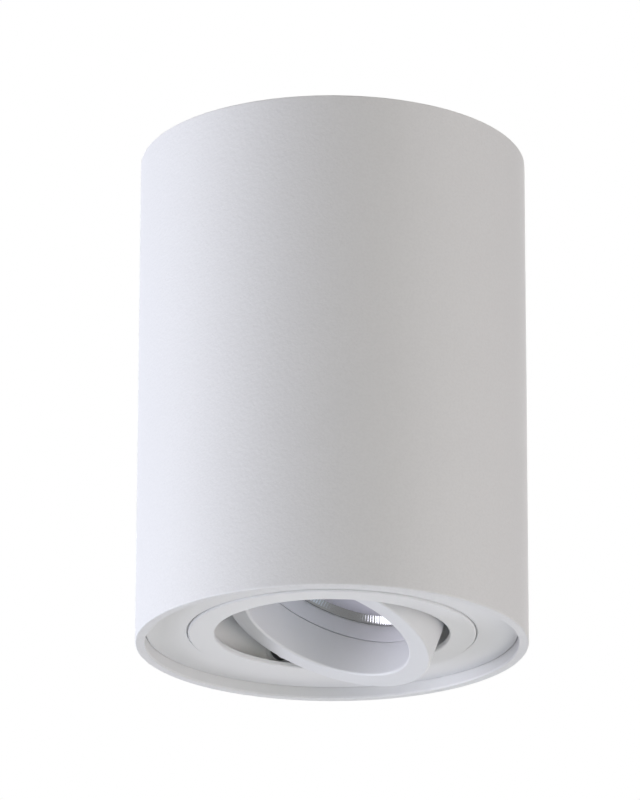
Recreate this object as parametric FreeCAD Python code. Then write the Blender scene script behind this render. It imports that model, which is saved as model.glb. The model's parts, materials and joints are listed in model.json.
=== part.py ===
"""Surface mounted ceiling spotlight: a round tube with a swivelling, tilting lamp cup.

Sizes are millimetres. The origin is the centre of the face that meets the ceiling,
+Z points up into the ceiling and the tube hangs down from it. The lamp cup is shown
tilted, as it hangs in use.
"""
import FreeCAD, Part
import math
import os

V = FreeCAD.Vector
CENTRE = V(0, 0, 0)
UP = V(0, 0, 1)
ALONG_X = V(1, 0, 0)
ALONG_Y = V(0, 1, 0)

# ---- Fits and clearances ---------------------------------------------------
RUNNING_PLAY = 0.06        # radial play of a turning fit
THREAD_PLAY = 0.05         # radial play drawn between a screw and its thread
SCREW_CLEARANCE = 0.25     # radial room round a screw that passes through
SEAT_GAP = 0.05            # between pieces that rest against each other
PLATE_GAP = 0.25           # radial gap round the trim plate
RING_GAP = 0.27            # radial gap round the face of the swivel ring
RING_END_PLAY = 0.06       # axial play of the swivel ring
BRACKET_GAP = 0.3          # between the bracket's ears and the tube
WIRE_PLAY = 0.15           # radial room round a lead in its hole

# ---- Housing tube ----------------------------------------------------------
TUBE_LENGTH = 125.0
TUBE_WALL = 3.0
MOUTH_WALL = 2.35          # wall left round the bored mouth
TUBE_EDGE_ROUND = 0.5

# ---- Ceiling bracket -------------------------------------------------------
BRACKET_WIDTH = 18.0
BRACKET_THICKNESS = 1.5
BRACKET_BEND = 2.5         # outer radius of the bend of an ear
EAR_LENGTH = 15.0
SLOT_SPACING = 66.0
SLOT_WIDTH = 4.5
SLOT_LENGTH = 9.0
SIDE_SCREW_DROP = 8.0      # from the ceiling to the screws' axis
SIDE_SCREW_DIAMETER = 4.0
SIDE_SCREW_LENGTH = 6.5
SIDE_SCREW_SINK = 0.5      # below the tube's outer face
SOCKET_WIDTH = 2.0         # across the flats of the hexagon socket
SOCKET_DEPTH = 2.2

# ---- Cable grommet ---------------------------------------------------------
CABLE_X = 7.0              # place of the cable hole along the bracket
CABLE_BORE = 8.0
GROMMET_NECK = 11.0
GROMMET_FLANGE = 15.0
GROMMET_LIP = 1.6          # thickness of its flange below the bracket

# ---- Terminal block --------------------------------------------------------
BLOCK_X = -13.0
POLE_COUNT = 3
POLE_PITCH = 10.0
POLE_WIDTH = 9.0
BLOCK_DEPTH = 17.0         # along the wires
BLOCK_HEIGHT = 13.5
TOWER_WIDTH = 6.0
TOWER_HEIGHT = 5.0
BLOCK_WEB = 3.0            # height of the web that joins the poles
WIRE_AXIS = 6.0            # from the bracket to the axis of the wires
CLAMP_DIAMETER = 4.4
CLAMP_BORE = 3.0
CLAMP_LENGTH = 14.0
CLAMP_SCREW_DIAMETER = 2.6
CLAMP_SCREW_HEAD = 3.6
CLAMP_SCREW_SPACING = 9.0
BLOCK_SCREW_DIAMETER = 2.5
BLOCK_SCREW_HEAD = 4.2

# ---- Earth connection ------------------------------------------------------
EARTH_X = 21.0
EARTH_SCREW_DIAMETER = 4.0
EARTH_HEAD_DIAMETER = 7.0
EARTH_HEAD_HEIGHT = 2.2
EARTH_WASHER_DIAMETER = 8.0
EARTH_WASHER_THICKNESS = 0.8
EARTH_LUG_THICKNESS = 0.8
EARTH_LUG_DIAMETER = 7.6
EARTH_BARREL_DIAMETER = 3.4
EARTH_BARREL_LENGTH = 5.0
EARTH_LEAD_RUN = 9.0       # straight out of the lug, and then across
EARTH_LEAD_BOW = 2.5       # sideways bow of the earth lead
EARTH_LEAD_SAG = 3.0

# ---- Trim plate ------------------------------------------------------------
PLATE_WIDTH = 9.98         # of its face, from the swivel ring's gap to its own edge
PLATE_RECESS = 2.9         # from the tube's rim up to the plate's face
PLATE_THICKNESS = 2.0
PLATE_RIM_HEIGHT = 6.0     # from the plate's face to the top of its rim
PLATE_RIM_WALL = 1.4
PLATE_EDGE_ROUND = 0.3
COLLAR_WALL = 2.0
COLLAR_HEIGHT = 6.0        # above the plate's back
CLIP_COUNT = 3
CLIP_WIDTH = 9.0
CLIP_THICKNESS = 0.5
CLIP_HEIGHT = 24.0         # of the sprung arm above the plate
CLIP_BEND_ROUND = 2.0
CLIP_RIVET_DIAMETER = 2.4
CLIP_RIVET_HEAD = 4.0
CLIP_FIRST_AZIMUTH = 60.0
STOP_WIDTH = 2.4           # of the stop post on the plate
STOP_DEPTH = 1.8

# ---- Swivel ring -----------------------------------------------------------
OPENING_CLEARANCE = 2.3    # round the cup, for its tilt
RING_LIP_WIDTH = 5.4       # from the opening to the skirt
RING_LIP_REACH = 1.05      # of the lip beyond the skirt
RING_LIP = 1.2             # thickness of the lip round the opening
RING_PROUD = 0.45          # the ring's face stands this far below the plate's
RING_EDGE_ROUND = 0.4
SKIRT_WALL = 1.4
SKIRT_TOP = 7.5            # above the tilt axis
CIRCLIP_THICKNESS = 1.0
CIRCLIP_WIDTH = 2.2
CIRCLIP_GROOVE = 0.5       # depth of its groove
CIRCLIP_OPENING = 24.0     # degrees left open
GLIDE_THICKNESS = 0.7
LUG_WIDTH = 3.0
LUG_REACH = 3.3            # of the stop lug, out from the skirt

# ---- Pivots ----------------------------------------------------------------
PIVOT_HEIGHT = 7.1         # above the tube's rim
TILT_AZIMUTH = 115.8       # direction of the tilt axis, degrees from +X
TILT = 21.2                # of the cup as it hangs, degrees
PIVOT_SHOULDER = 4.0
PIVOT_HEAD = 5.2
PIVOT_HEAD_HEIGHT = 1.2
PIVOT_HEAD_SINK = 0.2
PIVOT_THREAD = 3.0
PIVOT_THREAD_LENGTH = 3.8
PIVOT_EYE = 6.6            # diameter of the ring's inner eyes
PIVOT_EYE_DEPTH = 2.1      # how far an eye stands in from the skirt
CUP_BOSS = 6.4             # diameter of the cup's pivot bosses
CUP_BOSS_PROUD = 0.8
BUSH_DIAMETER = 5.4
SPRING_WASHER = 0.6

# ---- Lamp cup --------------------------------------------------------------
LAMP_PLAY = 0.3            # between the lamp's rim and the cup
CUP_WALL = 1.2
CUP_LENGTH = 22.1
CUP_DROP = 3.6             # from the tilt axis to the face of the lip
MOUTH_LEDGE = 4.0          # of the lip, in from the lamp's rim
CUP_LIP = 1.6
CUP_EDGE_ROUND = 0.5
CUP_MOUTH_ROUND = 0.35
BAFFLE_DEPTH = 10.2        # of the flared wall behind the mouth
BAFFLE_FLARE = 1.15        # how much wider the baffle is at its deep end
BAFFLE_WALL = 1.2

# ---- Lamp ------------------------------------------------------------------
SEAT_RING_HEIGHT = 4.4
SEAT_REACH = 0.45          # how far the seat ring reaches in past the baffle
LAMP_DIAMETER = 49.8
LAMP_RIM = 3.0
LAMP_RIM_REACH = 1.6       # of the rim beyond the neck
LAMP_NECK_LENGTH = 3.6
LAMP_LENGTH = 46.5         # rim to base, without the pins
LAMP_WALL = 1.6
LAMP_TAPER = 9.8           # from the neck in to the waist that meets the base
LAMP_BODY_LENGTH = 32.0
FIN_COUNT = 16
FIN_SLOT = 1.6
FIN_SLOT_DEPTH = 2.2
LENS_EDGE = 3.4            # width of the lamp's rim round the lens
LENS_THICKNESS = 1.8
LENS_SET = 0.4             # below the lamp's rim
LENS_FACET_COUNT = 36
LENS_FACET_DEPTH = 0.5
LENS_FACET_LENGTH = 6.5    # from the lens's plain middle to its edge
BOARD_DEPTH = 12.0         # from the rim to the light board
BOARD_THICKNESS = 1.6
BASE_DIAMETER = 24.0
BASE_FLANK = 6.0           # height of the base's straight side
PIN_SOCKET = 5.0           # depth of the pins' holes in the base
PIN_SPACING = 10.0
PIN_DIAMETER = 3.2
PIN_HEAD = 5.0
PIN_HEAD_HEIGHT = 1.8
PIN_LENGTH = 6.6
SPRING_WIRE = 1.0
SPRING_GROOVE = 0.35
SPRING_OPENING = 36.0      # degrees left open in the wire ring

# ---- Lampholder ------------------------------------------------------------
HOLDER_LENGTH = 26.0       # along the tilt axis
HOLDER_WIDTH = 15.0
HOLDER_HEIGHT = 14.0
HOLDER_ROUND = 4.0
HOLDER_FACE = 3.6          # wall that the pins' heads lock behind
HOLDER_LOCK = 24.0         # degrees that the lamp is turned to lock
HOLDER_CHAMBER = 3.6       # room for the pins' heads
CONTACT_THICKNESS = 0.5
COVER_HEIGHT = 3.6
COVER_SCREW_DIAMETER = 2.6
COVER_SCREW_HEAD = 4.6
COVER_SCREW_DEPTH = 5.0     # of the screw in the lampholder's body
CONTACT_TAIL = 3.4         # rise of a contact's tail above its pad
LEAD_SPACING = 14.0        # of the two leads at the lampholder

# ---- Leads -----------------------------------------------------------------
LEAD_DIAMETER = 2.0
LEAD_PAIR = 2.2            # between the leads where they are tied
LEAD_SPREAD = 2.4          # how many times wider apart they are on their way down
LEAD_STUB = 5.0            # straight out of a terminal
LEAD_BOW = 8.5             # from the terminal block out to the leads' bend
LEAD_FALL = 9.0            # from the terminals down to that bend
TIE_RUN = 9.0              # straight beside the tie
HOLDER_STUB = 6.0          # straight out of the lampholder's cover
TIE_DROP = 26.0            # of the tie, below the ceiling
TIE_WIDTH = 3.0
TIE_THICKNESS = 0.8

# ---- Places worked out from the sizes --------------------------------------
LAMP_RADIUS = LAMP_DIAMETER / 2
LAMP_NECK = LAMP_RADIUS - LAMP_RIM_REACH
LAMP_WAIST = LAMP_NECK - LAMP_TAPER
LENS_RADIUS = LAMP_RADIUS - LENS_EDGE
CUP_BORE = LAMP_RADIUS + LAMP_PLAY
CUP_RADIUS = CUP_BORE + CUP_WALL
CUP_MOUTH = LAMP_RADIUS - MOUTH_LEDGE
BAFFLE_END = CUP_MOUTH + BAFFLE_FLARE
OPENING_RADIUS = CUP_RADIUS + OPENING_CLEARANCE
SKIRT_RADIUS = OPENING_RADIUS + RING_LIP_WIDTH
SKIRT_BORE = SKIRT_RADIUS - SKIRT_WALL
COLLAR_BORE = SKIRT_RADIUS + RUNNING_PLAY
COLLAR_RADIUS = COLLAR_BORE + COLLAR_WALL
RING_RADIUS = SKIRT_RADIUS + RING_LIP_REACH
PLATE_RADIUS = RING_RADIUS + RING_GAP + PLATE_WIDTH
MOUTH_RADIUS = PLATE_RADIUS + PLATE_GAP
TUBE_RADIUS = MOUTH_RADIUS + MOUTH_WALL
BORE_RADIUS = TUBE_RADIUS - TUBE_WALL
RIM_Z = -TUBE_LENGTH
PLATE_Z = RIM_Z + PLATE_RECESS
PLATE_BACK_Z = PLATE_Z + PLATE_THICKNESS
SHOULDER_Z = PLATE_Z + PLATE_RIM_HEIGHT
COLLAR_TOP_Z = PLATE_BACK_Z + COLLAR_HEIGHT
RING_Z = PLATE_Z - RING_PROUD
LIP_TOP_Z = RING_Z + RING_LIP
PIVOT_Z = RIM_Z + PIVOT_HEIGHT
SKIRT_TOP_Z = PIVOT_Z + SKIRT_TOP
GLIDE_TOP_Z = COLLAR_TOP_Z + RING_END_PLAY + GLIDE_THICKNESS
CIRCLIP_Z = GLIDE_TOP_Z + SEAT_GAP
CIRCLIP_TOP_Z = CIRCLIP_Z + CIRCLIP_THICKNESS
BAFFLE_TOP = BAFFLE_DEPTH - CUP_DROP
CUP_TOP = CUP_LENGTH - CUP_DROP
LAMP_FACE = BAFFLE_TOP + SEAT_GAP + SEAT_RING_HEIGHT + SEAT_GAP
BODY_TOP = LAMP_FACE + LAMP_BODY_LENGTH
BASE_TOP = LAMP_FACE + LAMP_LENGTH
HOLDER_Z = BASE_TOP + SEAT_GAP
COVER_Z = HOLDER_Z + HOLDER_HEIGHT
COVER_TOP = COVER_Z + COVER_HEIGHT
EAR_X = math.sqrt(BORE_RADIUS ** 2 - (BRACKET_WIDTH / 2) ** 2) - BRACKET_GAP
BRACKET_Z = -BRACKET_THICKNESS
BLOCK_BOTTOM_Z = BRACKET_Z - BLOCK_HEIGHT
WIRE_Z = BRACKET_Z - WIRE_AXIS
TIE_Z = -TIE_DROP

# The swivelling pieces share one frame, with its X along the tilt axis, and the
# tilting ones another, with its Z along the cup.
SWIVEL_FRAME = FreeCAD.Placement(V(0, 0, PIVOT_Z), FreeCAD.Rotation(UP, TILT_AZIMUTH))
CUP_FRAME = SWIVEL_FRAME * FreeCAD.Placement(CENTRE, FreeCAD.Rotation(ALONG_X, TILT))


# ---- Shared shapes ---------------------------------------------------------
def outline(corners):
    """Closed wire through (across, up, round) corners in the XZ plane."""
    points = [V(corner[0], 0, corner[1]) for corner in corners]
    rounds = [corner[2] if len(corner) > 2 else 0 for corner in corners]
    edges = []
    firsts = []
    lasts = []
    for index, point in enumerate(points):
        back = points[index - 1] - point
        ahead = points[(index + 1) % len(points)] - point
        half = back.getAngle(ahead) / 2
        reach = 0
        if rounds[index]:
            reach = min(rounds[index] / math.tan(half), 0.45 * back.Length, 0.45 * ahead.Length)
        firsts.append(point + back.normalize() * reach)
        lasts.append(point + ahead.normalize() * reach)
        if reach:
            radius = reach * math.tan(half)
            bisector = (back + ahead).normalize()
            middle = point + bisector * (radius / math.sin(half) - radius)
            edges.append(Part.Arc(firsts[-1], middle, lasts[-1]).toShape())
        else:
            edges.append(None)
    closed = []
    for index, edge in enumerate(edges):
        if edge:
            closed.append(edge)
        following = (index + 1) % len(points)
        if lasts[index].distanceToPoint(firsts[following]) > 1e-6:
            closed.append(Part.makeLine(lasts[index], firsts[following]))
    return Part.Wire(closed)


def turned(corners, angle=360.0):
    """Solid of revolution about Z from (radius, height, round) corners."""
    return Part.Face(outline(corners)).revolve(CENTRE, UP, angle)


def bar(corners, low, high):
    """Solid with its outline in the XZ plane, from Y = low to Y = high."""
    face = Part.Face(outline(corners))
    face.translate(V(0, low, 0))
    return face.extrude(V(0, high - low, 0))


def block(low, high):
    """Box between two corners."""
    size = V(*high) - V(*low)
    return Part.makeBox(size.x, size.y, size.z, V(*low))


def rod(radius, start, end):
    """Round bar between two points."""
    reach = V(*end) - V(*start)
    return Part.makeCylinder(radius, reach.Length, V(*start), reach)


def placed(shape, frame):
    """The shape moved from a local frame to the object's."""
    moved = shape.copy()
    moved.Placement = frame * moved.Placement
    return moved


def pointed(shape, base, direction):
    """The shape with its origin at base and its Z along direction."""
    return placed(shape, FreeCAD.Placement(V(*base), FreeCAD.Rotation(UP, V(*direction))))


def around(shape, count, first=0.0):
    """Copies of the shape spaced evenly about Z."""
    copies = []
    for index in range(count):
        turn = FreeCAD.Rotation(UP, first + index * 360.0 / count)
        copies.append(placed(shape, FreeCAD.Placement(CENTRE, turn)))
    return copies


def slotted_screw(diameter, length, head_diameter, head_height):
    """Cheese-head screw, its head above Z = 0 and its shank below."""
    radius = diameter / 2
    head = head_diameter / 2
    edge = 0.2 * head_height
    body = turned([(0, -length), (radius - edge, -length), (radius, edge - length), (radius, 0),
                   (head, 0), (head, head_height, edge), (0, head_height)])
    slot_width = 0.18 * head_diameter
    slot = block((-head, -slot_width / 2, 0.5 * head_height), (head, slot_width / 2, head_height))
    return body.cut(slot)


def routed(points, diameter):
    """Round lead along straight runs that tangent arcs join."""
    edges = []
    start = points[0]
    smallest = None
    for before, corner, after in zip(points, points[1:], points[2:]):
        back = before - corner
        ahead = after - corner
        half = back.getAngle(ahead) / 2
        reach = 0.45 * min(back.Length, ahead.Length)
        first = corner + back.normalize() * reach
        last = corner + ahead.normalize() * reach
        radius = reach * math.tan(half)
        middle = corner + (back + ahead).normalize() * (radius / math.sin(half) - radius)
        edges.append(Part.makeLine(start, first))
        edges.append(Part.Arc(first, middle, last).toShape())
        start = last
        smallest = radius if smallest is None else min(smallest, radius)
    edges.append(Part.makeLine(start, points[-1]))
    path = Part.Wire(edges)
    section = Part.Wire(Part.makeCircle(diameter / 2, points[0], points[1] - points[0]))
    pipe = Part.BRepOffsetAPI.MakePipeShell(path)
    pipe.add(section)
    pipe.build()
    pipe.makeSolid()
    lead = pipe.shape()
    expected = path.Length * math.pi * diameter ** 2 / 4
    print(f"lead {path.Length:.1f} long, tightest bend {smallest:.1f},",
          f"volume {abs(lead.Volume) / expected:.4f} of its section times its length")
    return lead


# ---- Housing ---------------------------------------------------------------
def housing_tube():
    """Tube with a bored mouth, a shoulder for the trim plate and two screw holes."""
    tube = turned([
        (MOUTH_RADIUS, RIM_Z, TUBE_EDGE_ROUND / 2),
        (TUBE_RADIUS, RIM_Z, TUBE_EDGE_ROUND),
        (TUBE_RADIUS, 0, TUBE_EDGE_ROUND),
        (BORE_RADIUS, 0),
        (BORE_RADIUS, SHOULDER_Z),
        (MOUTH_RADIUS, SHOULDER_Z),
    ])
    reach = TUBE_RADIUS + 1
    hole = SIDE_SCREW_DIAMETER / 2 + SCREW_CLEARANCE
    height = -SIDE_SCREW_DROP
    return tube.cut(rod(hole, (-reach, 0, height), (reach, 0, height)))


def ceiling_bracket():
    """Steel strip with two ears bent down, slotted for the ceiling screws."""
    inner_bend = BRACKET_BEND - BRACKET_THICKNESS
    inner_x = EAR_X - BRACKET_THICKNESS
    half = BRACKET_WIDTH / 2
    strip = bar([
        (-EAR_X, -EAR_LENGTH), (-EAR_X, 0, BRACKET_BEND), (EAR_X, 0, BRACKET_BEND),
        (EAR_X, -EAR_LENGTH), (inner_x, -EAR_LENGTH), (inner_x, BRACKET_Z, inner_bend),
        (-inner_x, BRACKET_Z, inner_bend), (-inner_x, -EAR_LENGTH),
    ], -half, half)
    cuts = []
    travel = (SLOT_LENGTH - SLOT_WIDTH) / 2
    for side in (-1, 1):
        middle = side * SLOT_SPACING / 2
        for end in (-travel, travel):
            place = middle + end
            cuts.append(rod(SLOT_WIDTH / 2, (place, 0, BRACKET_Z - 1), (place, 0, 1)))
        cuts.append(block((middle - travel, -SLOT_WIDTH / 2, BRACKET_Z - 1),
                          (middle + travel, SLOT_WIDTH / 2, 1)))
        corner = rod(half, (side * EAR_X, 0, half - EAR_LENGTH), (side * inner_x, 0, half - EAR_LENGTH))
        low = (side * EAR_X - BRACKET_THICKNESS, -half, -EAR_LENGTH)
        high = (side * EAR_X + BRACKET_THICKNESS, half, half - EAR_LENGTH)
        cuts.append(block(low, high).cut(corner))
    thread = SIDE_SCREW_DIAMETER / 2 + THREAD_PLAY
    cuts.append(rod(thread, (-EAR_X - 1, 0, -SIDE_SCREW_DROP), (EAR_X + 1, 0, -SIDE_SCREW_DROP)))
    cuts.append(rod(GROMMET_NECK / 2 + SEAT_GAP, (CABLE_X, 0, BRACKET_Z - 1), (CABLE_X, 0, 1)))
    earth = EARTH_SCREW_DIAMETER / 2 + THREAD_PLAY
    cuts.append(rod(earth, (EARTH_X, 0, BRACKET_Z - 1), (EARTH_X, 0, 1)))
    fixing = BLOCK_SCREW_DIAMETER / 2 + THREAD_PLAY
    cuts.append(rod(fixing, (BLOCK_X, POLE_PITCH / 2, BRACKET_Z - 1), (BLOCK_X, POLE_PITCH / 2, 1)))
    return strip.cut(cuts)


def side_set_screws():
    """Two socket set screws that hold the tube to the bracket's ears."""
    radius = SIDE_SCREW_DIAMETER / 2
    tip = 0.3 * radius
    screw = turned([(0, 0), (radius - tip, 0), (radius, tip), (radius, SIDE_SCREW_LENGTH, tip),
                    (0, SIDE_SCREW_LENGTH)])
    corners = []
    for index in range(6):
        angle = math.radians(60 * index)
        reach = SOCKET_WIDTH / math.sqrt(3)
        corners.append(V(reach * math.cos(angle), reach * math.sin(angle),
                         SIDE_SCREW_LENGTH - SOCKET_DEPTH))
    socket = Part.Face(Part.makePolygon(corners + corners[:1])).extrude(V(0, 0, SOCKET_DEPTH + 1))
    screw = screw.cut(socket)
    inner = TUBE_RADIUS - SIDE_SCREW_SINK - SIDE_SCREW_LENGTH
    return [pointed(screw, (side * inner, 0, -SIDE_SCREW_DROP), (side, 0, 0)) for side in (-1, 1)]


def cable_grommet():
    """Rubber grommet in the bracket's cable hole, flat on the ceiling side."""
    bore = CABLE_BORE / 2
    flange = GROMMET_FLANGE / 2
    bottom = BRACKET_Z - SEAT_GAP - GROMMET_LIP
    grommet = turned([
        (bore, bottom), (flange, bottom, 0.6), (flange, BRACKET_Z - SEAT_GAP),
        (GROMMET_NECK / 2, BRACKET_Z - SEAT_GAP), (GROMMET_NECK / 2, 0), (bore, 0),
    ])
    grommet.translate(V(CABLE_X, 0, 0))
    return grommet


def pole_places():
    """Places of the poles across the terminal block."""
    middle = (POLE_COUNT - 1) / 2
    return [(index - middle) * POLE_PITCH for index in range(POLE_COUNT)]


def terminal_block():
    """Moulded terminal block: a sleeve and a screw tower for each pole, joined by webs."""
    sides = (BLOCK_X - BLOCK_DEPTH / 2, BLOCK_X + BLOCK_DEPTH / 2)
    top = BRACKET_Z
    waist = BLOCK_BOTTOM_Z + TOWER_HEIGHT
    half = POLE_WIDTH / 2
    tower = TOWER_WIDTH / 2
    poles = []
    cuts = []
    for place in pole_places():
        pole = bar([(-half, top), (half, top), (half, waist, 1.2), (tower, waist, 0.4),
                    (tower, BLOCK_BOTTOM_Z, 0.5), (-tower, BLOCK_BOTTOM_Z, 0.5),
                    (-tower, waist, 0.4), (-half, waist, 1.2)], -sides[1], -sides[0])
        turn = FreeCAD.Placement(V(0, place, 0), FreeCAD.Rotation(UP, 90))
        poles.append(placed(pole, turn))
        cuts.append(rod(CLAMP_DIAMETER / 2 + SEAT_GAP, (sides[0] - 1, place, WIRE_Z),
                        (sides[1] + 1, place, WIRE_Z)))
        for side in (-1, 1):
            screw_x = BLOCK_X + side * CLAMP_SCREW_SPACING / 2
            cuts.append(rod(CLAMP_SCREW_HEAD / 2 + SCREW_CLEARANCE / 2, (screw_x, place, WIRE_Z),
                            (screw_x, place, BLOCK_BOTTOM_Z - 1)))
    span = max(pole_places()) + half
    webs = block((BLOCK_X - BLOCK_DEPTH / 4, -span, top - BLOCK_WEB),
                 (BLOCK_X + BLOCK_DEPTH / 4, span, top))
    middle = POLE_PITCH / 2
    hole = BLOCK_SCREW_DIAMETER / 2 + SCREW_CLEARANCE
    cuts.append(rod(hole, (BLOCK_X, middle, BLOCK_BOTTOM_Z), (BLOCK_X, middle, top + 1)))
    hole = BLOCK_SCREW_HEAD / 2 + SCREW_CLEARANCE / 2
    cuts.append(rod(hole, (BLOCK_X, middle, BLOCK_BOTTOM_Z - 1), (BLOCK_X, middle, top - BLOCK_WEB)))
    return poles[0].fuse(poles[1:] + [webs]).removeSplitter().cut(cuts)


def terminal_clamps():
    """Brass tubes in the terminal block, threaded for their screws."""
    clamps = []
    half = CLAMP_LENGTH / 2
    for place in pole_places():
        start = (BLOCK_X - half, place, WIRE_Z)
        end = (BLOCK_X + half, place, WIRE_Z)
        clamp = rod(CLAMP_DIAMETER / 2, start, end).cut(rod(CLAMP_BORE / 2, start, end))
        holes = []
        for side in (-1, 1):
            screw_x = BLOCK_X + side * CLAMP_SCREW_SPACING / 2
            holes.append(rod(CLAMP_SCREW_DIAMETER / 2 + THREAD_PLAY, (screw_x, place, WIRE_Z),
                             (screw_x, place, WIRE_Z - CLAMP_DIAMETER)))
        clamps.append(clamp.cut(holes))
    return clamps


def terminal_screws():
    """Two clamp screws in each pole, heads down so that they can be reached."""
    screws = []
    head_z = WIRE_Z - CLAMP_DIAMETER / 2 - 1.0
    length = head_z - BLOCK_BOTTOM_Z
    tip = head_z - WIRE_Z + LEAD_DIAMETER / 2 + SEAT_GAP
    screw = slotted_screw(CLAMP_SCREW_DIAMETER, -tip, CLAMP_SCREW_HEAD, 0.4 * length)
    for place in pole_places():
        for side in (-1, 1):
            screw_x = BLOCK_X + side * CLAMP_SCREW_SPACING / 2
            screws.append(pointed(screw, (screw_x, place, head_z), (0, 0, -1)))
    return screws


def terminal_block_screw():
    """Screw between two poles that holds the terminal block to the bracket."""
    head_z = BRACKET_Z - BLOCK_WEB - SEAT_GAP
    screw = slotted_screw(BLOCK_SCREW_DIAMETER, -head_z, BLOCK_SCREW_HEAD, 1.4)
    return pointed(screw, (BLOCK_X, POLE_PITCH / 2, head_z), (0, 0, -1))


def earth_washer():
    """Toothed washer between the bracket and the earth lug."""
    low = BRACKET_Z - SEAT_GAP - EARTH_WASHER_THICKNESS
    bore = EARTH_SCREW_DIAMETER / 2 + SCREW_CLEARANCE
    washer = turned([(bore, low), (EARTH_WASHER_DIAMETER / 2, low),
                     (EARTH_WASHER_DIAMETER / 2, low + EARTH_WASHER_THICKNESS),
                     (bore, low + EARTH_WASHER_THICKNESS)])
    tooth = block((EARTH_WASHER_DIAMETER / 2 - 0.9, -0.35, low - 1), (EARTH_WASHER_DIAMETER, 0.35, 0))
    washer = washer.cut(around(tooth, 10))
    washer.translate(V(EARTH_X, 0, 0))
    return washer


def earth_lug_top():
    """Height of the face that the earth lug has towards its washer."""
    return BRACKET_Z - 2 * SEAT_GAP - EARTH_WASHER_THICKNESS


def earth_lead_points():
    """Route of the earth lead, from the lug's barrel to its pole."""
    axis_z = earth_lug_top() - EARTH_BARREL_DIAMETER / 2
    pole = max(pole_places())
    start_y = EARTH_LUG_DIAMETER / 2 + 0.4 * EARTH_BARREL_LENGTH
    return [
        V(EARTH_X, start_y, axis_z),
        V(EARTH_X, start_y + EARTH_LEAD_RUN, axis_z),
        V(EARTH_X - EARTH_LEAD_RUN, start_y + EARTH_LEAD_RUN + EARTH_LEAD_BOW, axis_z - EARTH_LEAD_SAG),
        V(CABLE_X - LEAD_DIAMETER / 2, pole + 2 * LEAD_DIAMETER, WIRE_Z - LEAD_DIAMETER / 4),
        V(BLOCK_X + BLOCK_DEPTH / 2 + LEAD_STUB, pole, WIRE_Z),
        V(BLOCK_X + LEAD_DIAMETER, pole, WIRE_Z),
    ]


def earth_lug():
    """Ring terminal with a crimped barrel, under the earth screw."""
    top = earth_lug_top()
    low = top - EARTH_LUG_THICKNESS
    outer = EARTH_LUG_DIAMETER / 2
    barrel = EARTH_BARREL_DIAMETER / 2
    eye = rod(outer, (0, 0, low), (0, 0, top))
    neck = block((-barrel, 0, low), (barrel, outer + 0.6, top))
    tube = rod(barrel, (0, outer, top - barrel), (0, outer + EARTH_BARREL_LENGTH, top - barrel))
    lug = eye.fuse([neck, tube])
    bore = EARTH_SCREW_DIAMETER / 2 + SCREW_CLEARANCE
    hole = rod(bore, (0, 0, low - 1), (0, 0, top + 1))
    wire = rod(LEAD_DIAMETER / 2 + SEAT_GAP, (0, outer + 0.2 * EARTH_BARREL_LENGTH, top - barrel),
               (0, outer + 2 * EARTH_BARREL_LENGTH, top - barrel))
    lug = lug.cut([hole, wire])
    lug.translate(V(EARTH_X, 0, 0))
    return lug


def earth_screw():
    """Earth screw, head down, through the lug and washer into the bracket."""
    head_z = earth_lug_top() - EARTH_LUG_THICKNESS - SEAT_GAP
    screw = slotted_screw(EARTH_SCREW_DIAMETER, -head_z, EARTH_HEAD_DIAMETER, EARTH_HEAD_HEIGHT)
    return pointed(screw, (EARTH_X, 0, head_z), (0, 0, -1))


def earth_lead():
    """Lead from the earth lug to the terminal block."""
    return routed(earth_lead_points(), LEAD_DIAMETER)


def clip_arm_radius():
    """Radius at which the spring clips rise from the plate."""
    return PLATE_RADIUS - PLATE_RIM_WALL - 2 * CLIP_THICKNESS


def clip_rivet_radius():
    """Radius of the rivets, midway between the collar and the clips' arms."""
    return (COLLAR_RADIUS + clip_arm_radius()) / 2


def trim_plate():
    """Recessed plate: stepped hole for the ring, rear collar, upstanding rim, stop post."""
    ledge_z = LIP_TOP_Z + RING_END_PLAY
    plate = turned([
        (RING_RADIUS + RING_GAP, PLATE_Z, PLATE_EDGE_ROUND),
        (PLATE_RADIUS, PLATE_Z, PLATE_EDGE_ROUND),
        (PLATE_RADIUS, SHOULDER_Z),
        (PLATE_RADIUS - PLATE_RIM_WALL, SHOULDER_Z),
        (PLATE_RADIUS - PLATE_RIM_WALL, PLATE_BACK_Z, 0.6),
        (COLLAR_RADIUS, PLATE_BACK_Z, 0.6),
        (COLLAR_RADIUS, COLLAR_TOP_Z),
        (COLLAR_BORE, COLLAR_TOP_Z),
        (COLLAR_BORE, ledge_z),
        (RING_RADIUS + RING_GAP, ledge_z),
    ])
    post = block((COLLAR_RADIUS - COLLAR_WALL / 2, -STOP_WIDTH / 2, PLATE_BACK_Z - 0.5),
                 (COLLAR_RADIUS + STOP_DEPTH, STOP_WIDTH / 2, SKIRT_TOP_Z))
    open_top = rod(COLLAR_RADIUS + SEAT_GAP, (0, 0, COLLAR_TOP_Z), (0, 0, SKIRT_TOP_Z + 1))
    plate = plate.fuse(post.cut(open_top)).removeSplitter()
    rivet = rod(CLIP_RIVET_DIAMETER / 2 + SEAT_GAP, (clip_rivet_radius(), 0, PLATE_BACK_Z - 1.2),
                (clip_rivet_radius(), 0, PLATE_BACK_Z + 1))
    return plate.cut(around(rivet, CLIP_COUNT, CLIP_FIRST_AZIMUTH))


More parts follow.
